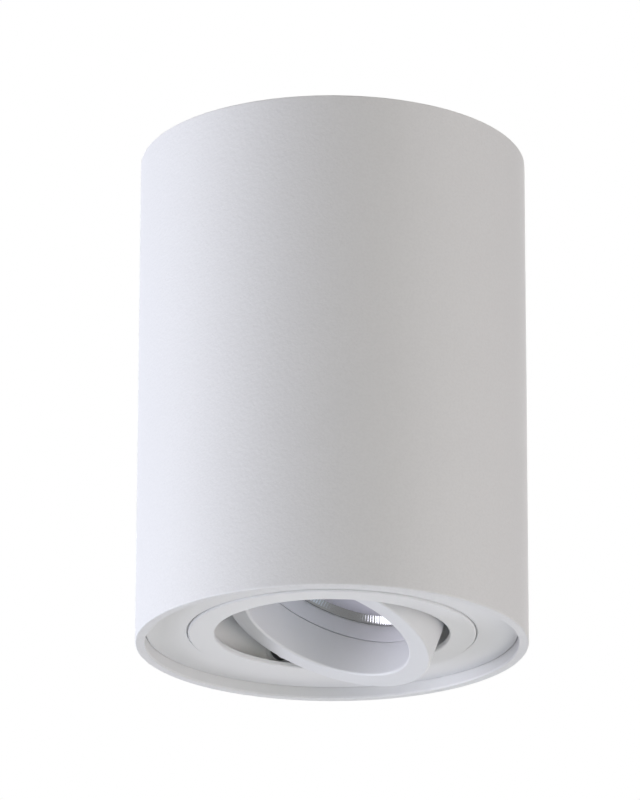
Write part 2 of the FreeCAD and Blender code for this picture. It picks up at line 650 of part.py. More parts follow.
def trim_spring_clips():
    """Leaf springs riveted to the plate's back, whose knees press on the tube's wall."""
    foot = clip_rivet_radius() - CLIP_RIVET_HEAD / 2
    arm = clip_arm_radius()
    knee = BORE_RADIUS - SEAT_GAP
    thick = CLIP_THICKNESS
    base = PLATE_BACK_Z + SEAT_GAP
    knee_z = base + 0.72 * CLIP_HEIGHT
    tip_z = base + CLIP_HEIGHT
    tip = knee - 0.28 * CLIP_HEIGHT * 0.6
    clip = bar([
        (foot, base), (arm, base, 1.0), (knee, knee_z, CLIP_BEND_ROUND), (tip, tip_z),
        (tip - thick, tip_z), (knee - thick * 1.2, knee_z, 1.5), (arm - thick, base + thick, 0.6),
        (foot, base + thick),
    ], -CLIP_WIDTH / 2, CLIP_WIDTH / 2)
    clip = clip.common(rod(knee, (0, 0, base - 1), (0, 0, tip_z + 1)))
    hole = rod(CLIP_RIVET_DIAMETER / 2 + SEAT_GAP, (clip_rivet_radius(), 0, base - 1),
               (clip_rivet_radius(), 0, base + 1))
    return around(clip.cut(hole), CLIP_COUNT, CLIP_FIRST_AZIMUTH)


def trim_clip_rivets():
    """Rivets that hold the spring clips to the plate."""
    head_z = PLATE_BACK_Z + 2 * SEAT_GAP + CLIP_THICKNESS
    radius = CLIP_RIVET_DIAMETER / 2
    head = CLIP_RIVET_HEAD / 2
    rivet = turned([(0, PLATE_BACK_Z - 1.1), (radius, PLATE_BACK_Z - 1.1), (radius, head_z),
                    (head, head_z), (head, head_z + 1.0, 0.6), (0, head_z + 1.0)])
    rivet.translate(V(clip_rivet_radius(), 0, 0))
    return around(rivet, CLIP_COUNT, CLIP_FIRST_AZIMUTH)


# ---- Swivel ----------------------------------------------------------------
def swivel_ring():
    """Ring with a thin lip, a set-back skirt, a circlip groove, two eyes and a stop lug."""
    groove = SKIRT_RADIUS - CIRCLIP_GROOVE
    ring = turned([
        (OPENING_RADIUS, RING_Z, RING_EDGE_ROUND),
        (RING_RADIUS, RING_Z, RING_EDGE_ROUND),
        (RING_RADIUS, LIP_TOP_Z),
        (SKIRT_RADIUS, LIP_TOP_Z),
        (SKIRT_RADIUS, CIRCLIP_Z - SEAT_GAP),
        (groove, CIRCLIP_Z - SEAT_GAP),
        (groove, CIRCLIP_TOP_Z + SEAT_GAP),
        (SKIRT_RADIUS, CIRCLIP_TOP_Z + SEAT_GAP),
        (SKIRT_RADIUS, SKIRT_TOP_Z),
        (SKIRT_BORE, SKIRT_TOP_Z),
        (SKIRT_BORE, LIP_TOP_Z),
        (OPENING_RADIUS, LIP_TOP_Z),
    ])
    lug = block((-SKIRT_RADIUS - LUG_REACH, -LUG_WIDTH / 2, CIRCLIP_TOP_Z + 2 * SEAT_GAP),
                (-SKIRT_RADIUS + SKIRT_WALL / 2, LUG_WIDTH / 2, SKIRT_TOP_Z - SKIRT_WALL / 4))
    inner = SKIRT_BORE - PIVOT_EYE_DEPTH
    head_seat = SKIRT_RADIUS - PIVOT_HEAD_SINK - PIVOT_HEAD_HEIGHT - SEAT_GAP
    eyes = []
    holes = []
    for side in (-1, 1):
        eye = rod(PIVOT_EYE / 2, (side * inner, 0, 0), (side * (SKIRT_RADIUS - 0.4), 0, 0))
        eyes.append(placed(eye, SWIVEL_FRAME))
        hole = rod(PIVOT_SHOULDER / 2 + RUNNING_PLAY, (side * (inner - 1), 0, 0),
                   (side * (SKIRT_RADIUS + 1), 0, 0))
        sink = rod(PIVOT_HEAD / 2 + 2 * RUNNING_PLAY, (side * head_seat, 0, 0),
                   (side * (SKIRT_RADIUS + 1), 0, 0))
        holes.extend([placed(hole, SWIVEL_FRAME), placed(sink, SWIVEL_FRAME)])
    return ring.fuse(eyes + [lug]).removeSplitter().cut(holes)


def swivel_glide_washer():
    """Low-friction washer between the plate's collar and the circlip."""
    low = GLIDE_TOP_Z - GLIDE_THICKNESS
    bore = SKIRT_RADIUS + RUNNING_PLAY
    outer = COLLAR_RADIUS - SEAT_GAP - RUNNING_PLAY
    return turned([(bore, low), (outer, low), (outer, GLIDE_TOP_Z), (bore, GLIDE_TOP_Z)])


def swivel_circlip():
    """Open spring ring in the skirt's groove; it carries the ring on the collar."""
    inner = SKIRT_RADIUS - CIRCLIP_GROOVE + SEAT_GAP
    outer = inner + CIRCLIP_WIDTH
    clip = turned([(inner, CIRCLIP_Z), (outer, CIRCLIP_Z), (outer, CIRCLIP_TOP_Z),
                   (inner, CIRCLIP_TOP_Z)], 360.0 - CIRCLIP_OPENING)
    holes = []
    for angle in (3.0, 357.0 - CIRCLIP_OPENING):
        turn = math.radians(angle)
        middle = (inner + outer) / 2
        place = V(middle * math.cos(turn), middle * math.sin(turn), CIRCLIP_Z - 1)
        holes.append(Part.makeCylinder(0.6, CIRCLIP_THICKNESS + 2, place))
    turned_round = FreeCAD.Rotation(UP, 180 + CIRCLIP_OPENING / 2)
    return placed(clip.cut(holes), FreeCAD.Placement(CENTRE, turned_round))


def lead_tie():
    """Tie round the pair of leads, on the swivel axis."""
    across = LEAD_DIAMETER / 2 + SEAT_GAP
    half = LEAD_PAIR / 2
    outer = rod(across + TIE_THICKNESS, (-TIE_WIDTH / 2, 0, 0), (TIE_WIDTH / 2, 0, 0))
    inner = rod(across, (-TIE_WIDTH, 0, 0), (TIE_WIDTH, 0, 0))
    shapes = []
    for solid, reach, wall in ((outer, TIE_WIDTH / 2, across + TIE_THICKNESS), (inner, TIE_WIDTH, across)):
        ends = []
        for side in (-1, 1):
            end = solid.copy()
            end.translate(V(0, side * half, 0))
            ends.append(end)
        middle = block((-reach, -half, -wall), (reach, half, wall))
        shapes.append(ends[0].fuse([ends[1], middle]).removeSplitter())
    buckle = block((-TIE_WIDTH / 2 - 0.4, -half / 2 - 0.6, across + TIE_THICKNESS - 0.2),
                   (TIE_WIDTH / 2 + 0.4, half / 2 + 1.0, across + TIE_THICKNESS + 2.0))
    tie = shapes[0].fuse(buckle).cut(shapes[1])
    turn = FreeCAD.Rotation(UP, TILT_AZIMUTH - 90)
    return placed(tie, FreeCAD.Placement(V(0, 0, TIE_Z), turn))


# ---- Pivots, in the frame of the cup ---------------------------------------
def pivot_seats():
    """Distances along the tilt axis: cup boss, eye and head seat."""
    boss = CUP_RADIUS + CUP_BOSS_PROUD
    eye = SKIRT_BORE - PIVOT_EYE_DEPTH
    head = SKIRT_RADIUS - PIVOT_HEAD_SINK - PIVOT_HEAD_HEIGHT
    return boss, eye, head


def both_pivots(shape):
    """The shape, which lies along +X, at both ends of the tilt axis."""
    turn = FreeCAD.Placement(CENTRE, FreeCAD.Rotation(UP, 180))
    return [placed(shape, CUP_FRAME), placed(shape, CUP_FRAME * turn)]


def pivot_screws():
    """Shoulder screws: the head in the ring's eye, the thread in the cup's boss."""
    boss, _, head = pivot_seats()
    thread = PIVOT_THREAD / 2
    shoulder = PIVOT_SHOULDER / 2
    start = boss - PIVOT_THREAD_LENGTH
    screw = turned([
        (0, start), (thread - 0.3, start), (thread, start + 0.3), (thread, boss + SEAT_GAP),
        (shoulder, boss + SEAT_GAP), (shoulder, head), (PIVOT_HEAD / 2, head),
        (PIVOT_HEAD / 2, head + PIVOT_HEAD_HEIGHT, 0.3), (0, head + PIVOT_HEAD_HEIGHT),
    ])
    slot = block((-PIVOT_HEAD, -0.4, head + 0.5 * PIVOT_HEAD_HEIGHT),
                 (PIVOT_HEAD, 0.4, head + PIVOT_HEAD_HEIGHT + 1))
    return both_pivots(pointed(screw.cut(slot), (0, 0, 0), (1, 0, 0)))


def pivot_ring(start, end, outer):
    """Plain ring on the pivot screws' shoulder, from start to end along the axis."""
    bore = PIVOT_SHOULDER / 2 + SEAT_GAP
    ring = turned([(bore, start), (outer, start), (outer, end), (bore, end)])
    return both_pivots(pointed(ring, (0, 0, 0), (1, 0, 0)))


def pivot_bushes():
    """Plastic bushes that space the cup from the ring's eyes."""
    boss, eye, _ = pivot_seats()
    return pivot_ring(boss + 2 * SEAT_GAP, eye - 2 * SEAT_GAP - SPRING_WASHER, BUSH_DIAMETER / 2)


def pivot_spring_washers():
    """Dished washers whose friction holds the tilt."""
    _, eye, _ = pivot_seats()
    end = eye - SEAT_GAP
    bore = PIVOT_SHOULDER / 2 + SEAT_GAP
    outer = BUSH_DIAMETER / 2
    dish = 0.4 * SPRING_WASHER
    washer = turned([(bore, end - dish), (bore, end), (outer, end - SPRING_WASHER + dish),
                     (outer, end - SPRING_WASHER)])
    return both_pivots(pointed(washer, (0, 0, 0), (1, 0, 0)))


# ---- Lamp cup and lamp, in the frame of the cup ----------------------------
def spring_height():
    """Height of the retaining spring's wire, just behind the lamp's rim."""
    return LAMP_FACE + LAMP_RIM + SEAT_GAP + SPRING_WIRE / 2


def lamp_cup():
    """Cast cup: flat lip, flared baffle behind the mouth, rear bore for the lamp."""
    mouth = CUP_MOUTH
    baffle = BAFFLE_END
    lip_back = CUP_LIP - CUP_DROP
    groove = spring_height()
    reach = SPRING_WIRE / 2 + SEAT_GAP
    cup = turned([
        (mouth, -CUP_DROP, CUP_MOUTH_ROUND),
        (CUP_RADIUS, -CUP_DROP, CUP_EDGE_ROUND),
        (CUP_RADIUS, CUP_TOP, 0.3),
        (CUP_BORE, CUP_TOP),
        (CUP_BORE, groove + reach),
        (CUP_BORE + SPRING_GROOVE, groove + reach),
        (CUP_BORE + SPRING_GROOVE, groove - reach),
        (CUP_BORE, groove - reach),
        (CUP_BORE, lip_back, 0.6),
        (mouth + BAFFLE_WALL, lip_back, 0.4),
        (baffle + BAFFLE_WALL, BAFFLE_TOP),
        (baffle, BAFFLE_TOP),
    ])
    boss, _, _ = pivot_seats()
    bosses = []
    threads = []
    inner = baffle + BAFFLE_WALL / 2
    for side in (-1, 1):
        bosses.append(rod(CUP_BOSS / 2, (side * inner, 0, 0), (side * boss, 0, 0)))
        threads.append(rod(PIVOT_THREAD / 2 + THREAD_PLAY, (side * (boss + 1), 0, 0),
                           (side * (boss - PIVOT_THREAD_LENGTH - SEAT_GAP), 0, 0)))
    flare = math.tan(math.atan2(baffle - mouth, BAFFLE_DEPTH))
    low_radius = mouth - flare
    clear = Part.makeCone(low_radius, baffle + flare, BAFFLE_DEPTH + 2, V(0, 0, -CUP_DROP - 1))
    lip = rod(CUP_RADIUS, (0, 0, -CUP_DROP), (0, 0, lip_back))
    bosses = [boss_shape.cut([clear, lip]) for boss_shape in bosses]
    return placed(cup.fuse(bosses).removeSplitter().cut(threads), CUP_FRAME)


def lamp_seat_ring():
    """Soft ring behind the baffle that the lamp's rim rests on."""
    low = BAFFLE_TOP + SEAT_GAP
    high = low + SEAT_RING_HEIGHT
    outer = CUP_BORE - SEAT_GAP
    return placed(turned([(BAFFLE_END, low, 0.3), (outer, low), (outer, high),
                          (BAFFLE_END - SEAT_REACH, high, 0.3)]), CUP_FRAME)


def lamp_retaining_spring():
    """Open ring of spring wire in the cup's groove, behind the lamp's rim."""
    height = spring_height()
    path_radius = CUP_BORE + SPRING_GROOVE - SPRING_WIRE / 2 - SEAT_GAP
    circle = Part.Face(Part.Wire(Part.makeCircle(SPRING_WIRE / 2, V(path_radius, 0, height), ALONG_Y)))
    wire = circle.revolve(CENTRE, UP, 360.0 - SPRING_OPENING)
    return placed(wire, CUP_FRAME)


def lamp_body():
    """Lamp body: rim, neck, finned taper down to the base, open behind the lens."""
    neck = LAMP_NECK
    waist = LAMP_WAIST
    rim_top = LAMP_FACE + LAMP_RIM
    neck_top = rim_top + LAMP_NECK_LENGTH
    board = LAMP_FACE + BOARD_DEPTH
    pocket = LENS_RADIUS + SEAT_GAP
    ledge = LAMP_FACE + LENS_SET + LENS_THICKNESS + SEAT_GAP
    floor = board + BOARD_THICKNESS + SEAT_GAP
    board_radius = board_size()
    body = turned([
        (pocket, LAMP_FACE, 0.3), (LAMP_RADIUS, LAMP_FACE, 0.6), (LAMP_RADIUS, rim_top, 0.3),
        (neck, rim_top), (neck, neck_top, 2.0), (waist, BODY_TOP, 1.5),
        (0, BODY_TOP), (0, floor), (board_radius + SEAT_GAP, floor),
        (board_radius + SEAT_GAP, board - SEAT_GAP), (board_radius + 0.6, board - 0.6),
        (pocket - LAMP_WALL, ledge), (pocket, ledge),
    ])
    slope = math.atan2(neck - waist, BODY_TOP - neck_top)
    length = (BODY_TOP - neck_top) / math.cos(slope)
    slot = block((-FIN_SLOT_DEPTH, -FIN_SLOT / 2, 0.12 * length),
                 (2 * FIN_SLOT_DEPTH, FIN_SLOT / 2, length + 2 * FIN_SLOT_DEPTH))
    lean = FreeCAD.Rotation(ALONG_Y, -math.degrees(slope))
    slot = placed(slot, FreeCAD.Placement(V(neck, 0, neck_top), lean))
    return placed(body.cut(around(slot, FIN_COUNT)), CUP_FRAME)


def board_size():
    """Radius of the light board, inside the lamp's tapered shell."""
    neck_top = LAMP_RIM + LAMP_NECK_LENGTH
    share = (BOARD_DEPTH + BOARD_THICKNESS - neck_top) / (LAMP_BODY_LENGTH - neck_top)
    return LAMP_NECK - LAMP_TAPER * share - FIN_SLOT_DEPTH - LAMP_WALL


def lamp_lens():
    """Moulded lens: a slightly domed middle inside a ring of radial facets."""
    front = LAMP_FACE + LENS_SET
    back = front + LENS_THICKNESS
    edge = LENS_RADIUS
    middle = edge - LENS_FACET_LENGTH
    lens = turned([(0, front - 0.2), (0.6 * middle, front - 0.1), (middle, front + 0.3),
                   (edge - 0.8, front), (edge, front + 0.3), (edge, back), (0, back)])
    groove = Part.makeCone(0, LENS_FACET_DEPTH * 1.6, edge - middle + 1.0, V(middle, 0, front), ALONG_X)
    lens = lens.cut(around(groove, LENS_FACET_COUNT))
    return placed(lens, CUP_FRAME)


def lamp_light_board():
    """Round board with its light-emitting chips, at the bottom of the lamp."""
    low = LAMP_FACE + BOARD_DEPTH
    board = rod(board_size(), (0, 0, low), (0, 0, low + BOARD_THICKNESS))
    chip = block((0.5 * board_size() - 1.4, -1.4, low - 0.6), (0.5 * board_size() + 1.4, 1.4, low + 0.1))
    return placed(board.fuse(around(chip, 6)).removeSplitter(), CUP_FRAME)


def lamp_base():
    """Insulating base of the lamp, with the shoulder that meets the lampholder."""
    low = BODY_TOP + SEAT_GAP
    radius = BASE_DIAMETER / 2
    nose = HOLDER_WIDTH / 2
    base = turned([(0, low), (radius, low), (radius, low + BASE_FLANK, 1.0), (nose + 1.2, BASE_TOP, 1.0),
                   (0, BASE_TOP)])
    pin_x = PIN_SPACING / 2
    hole = rod(PIN_DIAMETER / 2 + SEAT_GAP, (pin_x, 0, BASE_TOP - PIN_SOCKET), (pin_x, 0, BASE_TOP + 1))
    return placed(base.cut(around(hole, 2)), CUP_FRAME)


def lamp_pins():
    """The two headed contact pins of the lamp."""
    radius = PIN_DIAMETER / 2
    head = PIN_HEAD / 2
    foot = BASE_TOP - PIN_SOCKET + 2 * SEAT_GAP
    top = BASE_TOP + PIN_LENGTH
    pin = turned([(0, foot), (radius, foot), (radius, top - PIN_HEAD_HEIGHT),
                  (head, top - PIN_HEAD_HEIGHT), (head, top, 0.5), (0, top)])
    pin.translate(V(PIN_SPACING / 2, 0, 0))
    return [placed(each, CUP_FRAME) for each in around(pin, 2)]


def holder_outline(length, width, corner, low, high):
    """Upright bar with a rounded oblong section."""
    half_length = length / 2
    half_width = width / 2
    plate = bar([(-half_length, -half_width, corner), (half_length, -half_width, corner),
                 (half_length, half_width, corner), (-half_length, half_width, corner)], 0, high - low)
    frame = FreeCAD.Placement(V(0, 0, low), FreeCAD.Rotation(ALONG_X, 90))
    return placed(plate, frame)


def sector(inner, outer, low, high, first, last):
    """Part of a ring between two heights and two angles."""
    piece = turned([(inner, low), (outer, low), (outer, high), (inner, high)], last - first)
    return placed(piece, FreeCAD.Placement(CENTRE, FreeCAD.Rotation(UP, first)))


def lampholder_body():
    """Ceramic lampholder whose curved keyways lock behind the heads of the pins."""
    body = holder_outline(HOLDER_LENGTH, HOLDER_WIDTH, HOLDER_ROUND, HOLDER_Z, COVER_Z)
    centre = PIN_SPACING / 2
    head = PIN_HEAD / 2 + SCREW_CLEARANCE
    neck = PIN_DIAMETER / 2 + SCREW_CLEARANCE
    face_top = HOLDER_Z + HOLDER_FACE
    chamber_top = face_top + HOLDER_CHAMBER
    entry = rod(head, (centre, 0, HOLDER_Z - 1), (centre, 0, chamber_top))
    entry = placed(entry, FreeCAD.Placement(CENTRE, FreeCAD.Rotation(UP, -HOLDER_LOCK)))
    keyway = sector(centre - neck, centre + neck, HOLDER_Z - 1, face_top, -HOLDER_LOCK, 0)
    rest = rod(neck, (centre, 0, HOLDER_Z - 1), (centre, 0, face_top))
    chamber = sector(centre - head, centre + head, face_top, chamber_top, -HOLDER_LOCK, 0)
    lock = rod(head, (centre, 0, face_top), (centre, 0, chamber_top))
    key = entry.fuse([keyway, rest, chamber, lock])
    well = rod(LEAD_DIAMETER, (LEAD_SPACING / 2, 0, chamber_top - 1), (LEAD_SPACING / 2, 0, COVER_Z + 1))
    screw = rod(COVER_SCREW_DIAMETER / 2 + THREAD_PLAY, (0, 0, COVER_Z - COVER_SCREW_DEPTH - SEAT_GAP),
                (0, 0, COVER_Z + 1))
    return placed(body.cut(around(key, 2) + around(well, 2) + [screw]), CUP_FRAME)


def lampholder_contacts():
    """Spring contacts that press on the pins, each with a tail up to its lead."""
    high = HOLDER_Z + HOLDER_FACE + HOLDER_CHAMBER - SEAT_GAP
    centre = PIN_SPACING / 2
    reach = PIN_DIAMETER / 2
    pad = sector(centre - reach, centre + reach + 1.0, high - CONTACT_THICKNESS, high, -8, 8)
    post_x = LEAD_SPACING / 2
    post = block((post_x - 1.0, -0.8, high - CONTACT_THICKNESS), (post_x - 0.4, 0.8, high + CONTACT_TAIL))
    contact = pad.fuse(post).removeSplitter()
    return [placed(each, CUP_FRAME) for each in around(contact, 2)]


def lampholder_cover():
    """Rear cover of the lampholder, with a hole for each lead."""
    cover = holder_outline(HOLDER_LENGTH, HOLDER_WIDTH, HOLDER_ROUND, COVER_Z + SEAT_GAP, COVER_TOP)
    hole = LEAD_DIAMETER / 2 + WIRE_PLAY
    lead = rod(hole, (LEAD_SPACING / 2, 0, COVER_Z - 1), (LEAD_SPACING / 2, 0, COVER_TOP + 1))
    screw = COVER_SCREW_DIAMETER / 2 + SCREW_CLEARANCE
    cuts = around(lead, 2) + [rod(screw, (0, 0, COVER_Z - 1), (0, 0, COVER_TOP + 1))]
    return placed(cover.cut(cuts), CUP_FRAME)


def lampholder_screw():
    """Screw that closes the lampholder's cover."""
    screw = slotted_screw(COVER_SCREW_DIAMETER, COVER_HEIGHT + COVER_SCREW_DEPTH, COVER_SCREW_HEAD, 1.6)
    screw.translate(V(0, 0, COVER_TOP + SEAT_GAP))
    return placed(screw, CUP_FRAME)


# ---- Leads -----------------------------------------------------------------
def tie_point(side, along=0.0, drop=0.0):
    """Point of a lead near the tie; along runs towards the lampholder."""
    turn = math.radians(TILT_AZIMUTH)
    across = side * LEAD_PAIR / 2
    ahead = V(math.sin(turn), -math.cos(turn), 0)
    sideways = V(math.cos(turn), math.sin(turn), 0)
    return ahead * along + sideways * across + V(0, 0, TIE_Z - drop)


def leads_upper():
    """Pair of leads from the terminal block to the tie on the swivel axis."""
    poles = sorted(pole_places())[:2]
    wall = BLOCK_X - BLOCK_DEPTH / 2
    leads = []
    for side, pole in zip((-1, 1), poles):
        points = [
            V(BLOCK_X - LEAD_DIAMETER, pole, WIRE_Z),
            V(wall - LEAD_STUB, pole, WIRE_Z),
            V(wall - LEAD_BOW, pole - 0.75 * LEAD_DIAMETER * side, WIRE_Z - LEAD_FALL),
            V(wall - LEAD_DIAMETER / 2, 0.6 * pole, TIE_Z - LEAD_DIAMETER / 2),
            tie_point(side, LEAD_DIAMETER / 2 - TIE_RUN),
            tie_point(side, -SEAT_GAP),
        ]
        leads.append(routed(points, LEAD_DIAMETER))
    return leads


def leads_lower():
    """Pair of leads from the tie down to the lampholder."""
    leads = []
    for side in (-1, 1):
        def in_cup(height, lean=0.0):
            return CUP_FRAME.multVec(V(side * LEAD_SPACING / 2, lean, height))
        points = [
            tie_point(side, SEAT_GAP),
            tie_point(side, TIE_RUN),
            tie_point(side * LEAD_SPREAD, 2 * TIE_RUN, -0.3 * LEAD_DIAMETER),
            in_cup(COVER_TOP + 2 * HOLDER_STUB + LEAD_DIAMETER / 2, LEAD_DIAMETER / 2),
            in_cup(COVER_TOP + HOLDER_STUB),
            in_cup(COVER_Z + LEAD_DIAMETER / 2),
        ]
        leads.append(routed(points, LEAD_DIAMETER))
    return leads


NODES = [
    housing_tube, ceiling_bracket, side_set_screws, cable_grommet, terminal_block,
    terminal_clamps, terminal_screws, terminal_block_screw, earth_washer, earth_lug,
    earth_screw, earth_lead, trim_plate, trim_spring_clips, trim_clip_rivets,
    swivel_ring, swivel_glide_washer, swivel_circlip, lead_tie,
    pivot_screws, pivot_bushes, pivot_spring_washers,
    lamp_cup, lamp_seat_ring, lamp_retaining_spring, lamp_body, lamp_lens,
    lamp_light_board, lamp_base, lamp_pins, lampholder_body, lampholder_contacts,
    lampholder_cover, lampholder_screw, leads_upper, leads_lower,
]


def main():
    os.makedirs("parts", exist_ok=True)
    for make in NODES:
        shape = make()
        solids = []
        for piece in shape if isinstance(shape, list) else [shape]:
            solids.extend(piece.Solids)
        node = solids[0] if len(solids) == 1 else Part.makeCompound(solids)
        node.exportStep(f"parts/{make.__name__}.step")
        print(f"{make.__name__}: {len(solids)} solid(s), {node.Volume:.1f} mm3, valid {node.isValid()}")


main()
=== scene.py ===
import json
import math

import bmesh
import bpy
from bpy.props import FloatProperty, FloatVectorProperty, IntProperty, PointerProperty
from mathutils import Matrix, Vector


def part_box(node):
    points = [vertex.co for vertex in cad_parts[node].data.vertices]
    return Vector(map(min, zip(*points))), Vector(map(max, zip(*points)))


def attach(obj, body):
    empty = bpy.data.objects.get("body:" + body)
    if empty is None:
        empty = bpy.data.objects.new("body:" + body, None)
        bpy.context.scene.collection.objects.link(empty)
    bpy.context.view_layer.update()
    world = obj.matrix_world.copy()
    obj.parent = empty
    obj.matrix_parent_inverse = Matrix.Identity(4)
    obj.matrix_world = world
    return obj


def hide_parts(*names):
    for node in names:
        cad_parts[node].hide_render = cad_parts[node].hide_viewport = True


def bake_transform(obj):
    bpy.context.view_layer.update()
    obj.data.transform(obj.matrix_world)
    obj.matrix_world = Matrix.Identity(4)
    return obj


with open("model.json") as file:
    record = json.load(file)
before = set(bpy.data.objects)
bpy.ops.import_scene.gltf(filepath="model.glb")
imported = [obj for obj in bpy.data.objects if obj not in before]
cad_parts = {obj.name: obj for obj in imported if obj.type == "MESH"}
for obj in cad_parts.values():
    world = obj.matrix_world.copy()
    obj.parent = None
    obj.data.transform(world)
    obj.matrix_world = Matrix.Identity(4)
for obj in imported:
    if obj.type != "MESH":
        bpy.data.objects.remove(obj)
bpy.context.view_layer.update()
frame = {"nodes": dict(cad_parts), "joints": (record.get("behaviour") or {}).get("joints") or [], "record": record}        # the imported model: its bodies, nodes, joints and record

bl_info = {
    "name": "Surface Mounted Ceiling Spotlight",
    "version": (1, 0, 0),
    "blender": (4, 5, 0),
    "location": "3D View > Sidebar > Spotlight",
    "description": "Finishes a surface mounted ceiling spotlight with a tilting lamp cup",
    "category": "Object",
}

MM = 0.001
LATHE_SIDES = 192
TUBE_SIDES = 256
BAR_SIDES = 64
LEAD_SIDES = 20
LEAD_STEPS = 12  # along each span of a lead
ROUTE_ORDER = 3
ROUND_STEPS = 6
ROUND_SHARE = 0.45  # of a side, the most that a round takes of it
EDGE_STRIP = 0.05 * MM  # flat strip beside a round, which keeps the flat's shading even
STRIP_SHARE = 0.04  # of a side, the most that a strip takes of it
SHARP_ANGLE = math.radians(32)
MERGE = 1e-6
FLATNESS = math.cos(math.radians(0.2))
FLAT_REGION = 3  # fewest triangles in a flat region that is shaded flat
WHITE = (1.0, 1.0, 1.0, 1.0)

TUBE_LOW, TUBE_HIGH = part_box("housing_tube")
PLATE_LOW, PLATE_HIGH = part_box("trim_plate")
RING_LOW, RING_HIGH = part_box("swivel_ring")
JOINTS = {joint["name"]: joint for joint in frame["joints"]}
SLOTS = {part["node"]: part["material_slot"] for part in frame["record"]["subparts"]}


# ---- Places of the swivelling and of the tilting pieces ----
TILT = JOINTS["cup_tilt"]
PIVOT = Vector(TILT["pos_m"])
TILT_AZIMUTH = math.atan2(TILT["axis"][1], TILT["axis"][0])
REST_TILT = -math.radians(sum(TILT["range_deg"]) / 2)  # the cup is upright half way
SWIVEL_FRAME = Matrix.Translation(PIVOT) @ Matrix.Rotation(TILT_AZIMUTH, 4, "Z")
CUP_FRAME = SWIVEL_FRAME @ Matrix.Rotation(REST_TILT, 4, "X")
CUP_AXIS = CUP_FRAME.to_3x3() @ Vector((0.0, 0.0, 1.0))


# ---- Sizes and colours that can be changed ----
def length(name, description, default):
    """A length property."""
    return FloatProperty(name=name, description=description, default=default, min=0.0,
                         unit="LENGTH", subtype="DISTANCE", precision=5)


def colour(name, description, default):
    """A colour property."""
    return FloatVectorProperty(name=name, description=description, default=default, size=3,
                               min=0.0, max=1.0, subtype="COLOR")


class SpotlightSizes(bpy.types.PropertyGroup):
    """Sizes of the housing, the trim, the cup and the lamp."""

    tube_radius: length("Tube radius", "Outer radius of the housing tube", TUBE_HIGH.x)
    tube_length: length("Tube length", "From the ceiling to the tube's rim", -TUBE_LOW.z)
    tube_wall: length("Tube wall", "Wall of the tube above the trim plate", 3.0 * MM)
    mouth_wall: length("Mouth wall", "Wall of the tube round the trim plate", 2.35 * MM)
    tube_round: length("Tube edge", "Rounding of the tube's edges", 0.35 * MM)
    plate_radius: length("Plate radius", "Outer radius of the trim plate", PLATE_HIGH.x + 0.12 * MM)
    plate_thickness: length("Plate thickness", "Thickness of the trim plate", 2.0 * MM)
    plate_rim: length("Plate rim", "Height of the plate's upstanding rim", 6.0 * MM)
    plate_rim_wall: length("Plate rim wall", "Wall of the plate's upstanding rim", 1.4 * MM)
    collar_wall: length("Collar wall", "Wall of the collar that guides the swivel ring", 2.0 * MM)
    collar_height: length("Collar height", "Height of the collar above the plate", 6.0 * MM)
    ring_radius: length("Ring radius", "Outer radius of the swivel ring's face", 35.15 * MM)
    ring_gap: length("Ring gap", "Gap between the plate and the swivel ring's face", 0.27 * MM)
    ring_lip: length("Ring lip", "Thickness of the swivel ring's face", 1.2 * MM)
    opening_radius: length("Opening radius", "Radius of the opening in the swivel ring", 28.7 * MM)
    skirt_radius: length("Skirt radius", "Outer radius of the swivel ring's skirt", 34.1 * MM)
    skirt_wall: length("Skirt wall", "Wall of the swivel ring's skirt", 1.4 * MM)
    cup_radius: length("Cup radius", "Outer radius of the lamp cup", 26.4 * MM)
    cup_wall: length("Cup wall", "Wall of the lamp cup", 1.2 * MM)
    cup_drop: length("Cup drop", "From the tilt axis down to the cup's lip", 3.6 * MM)
    cup_length: length("Cup length", "Length of the lamp cup", 22.1 * MM)
    cup_lip: length("Cup lip", "Thickness of the cup's lip", 1.6 * MM)
    cup_mouth: length("Cup mouth", "Radius of the cup's mouth", 20.9 * MM)
    baffle_depth: length("Baffle depth", "Depth of the flared wall behind the mouth", 10.2 * MM)
    baffle_end: length("Baffle end", "Radius of the flared wall at its deep end", 22.05 * MM)
    seat_height: length("Seat height", "Height of the soft ring under the lamp", 4.4 * MM)
    lens_radius: length("Lens radius", "Radius of the lamp's lens", 21.5 * MM)
    lens_wedges: IntProperty(name="Lens wedges", description="Wedges of ribs round the lens",
                             default=36, min=3)
    lead_radius: length("Lead radius", "Radius of the insulated leads", 1.0 * MM)


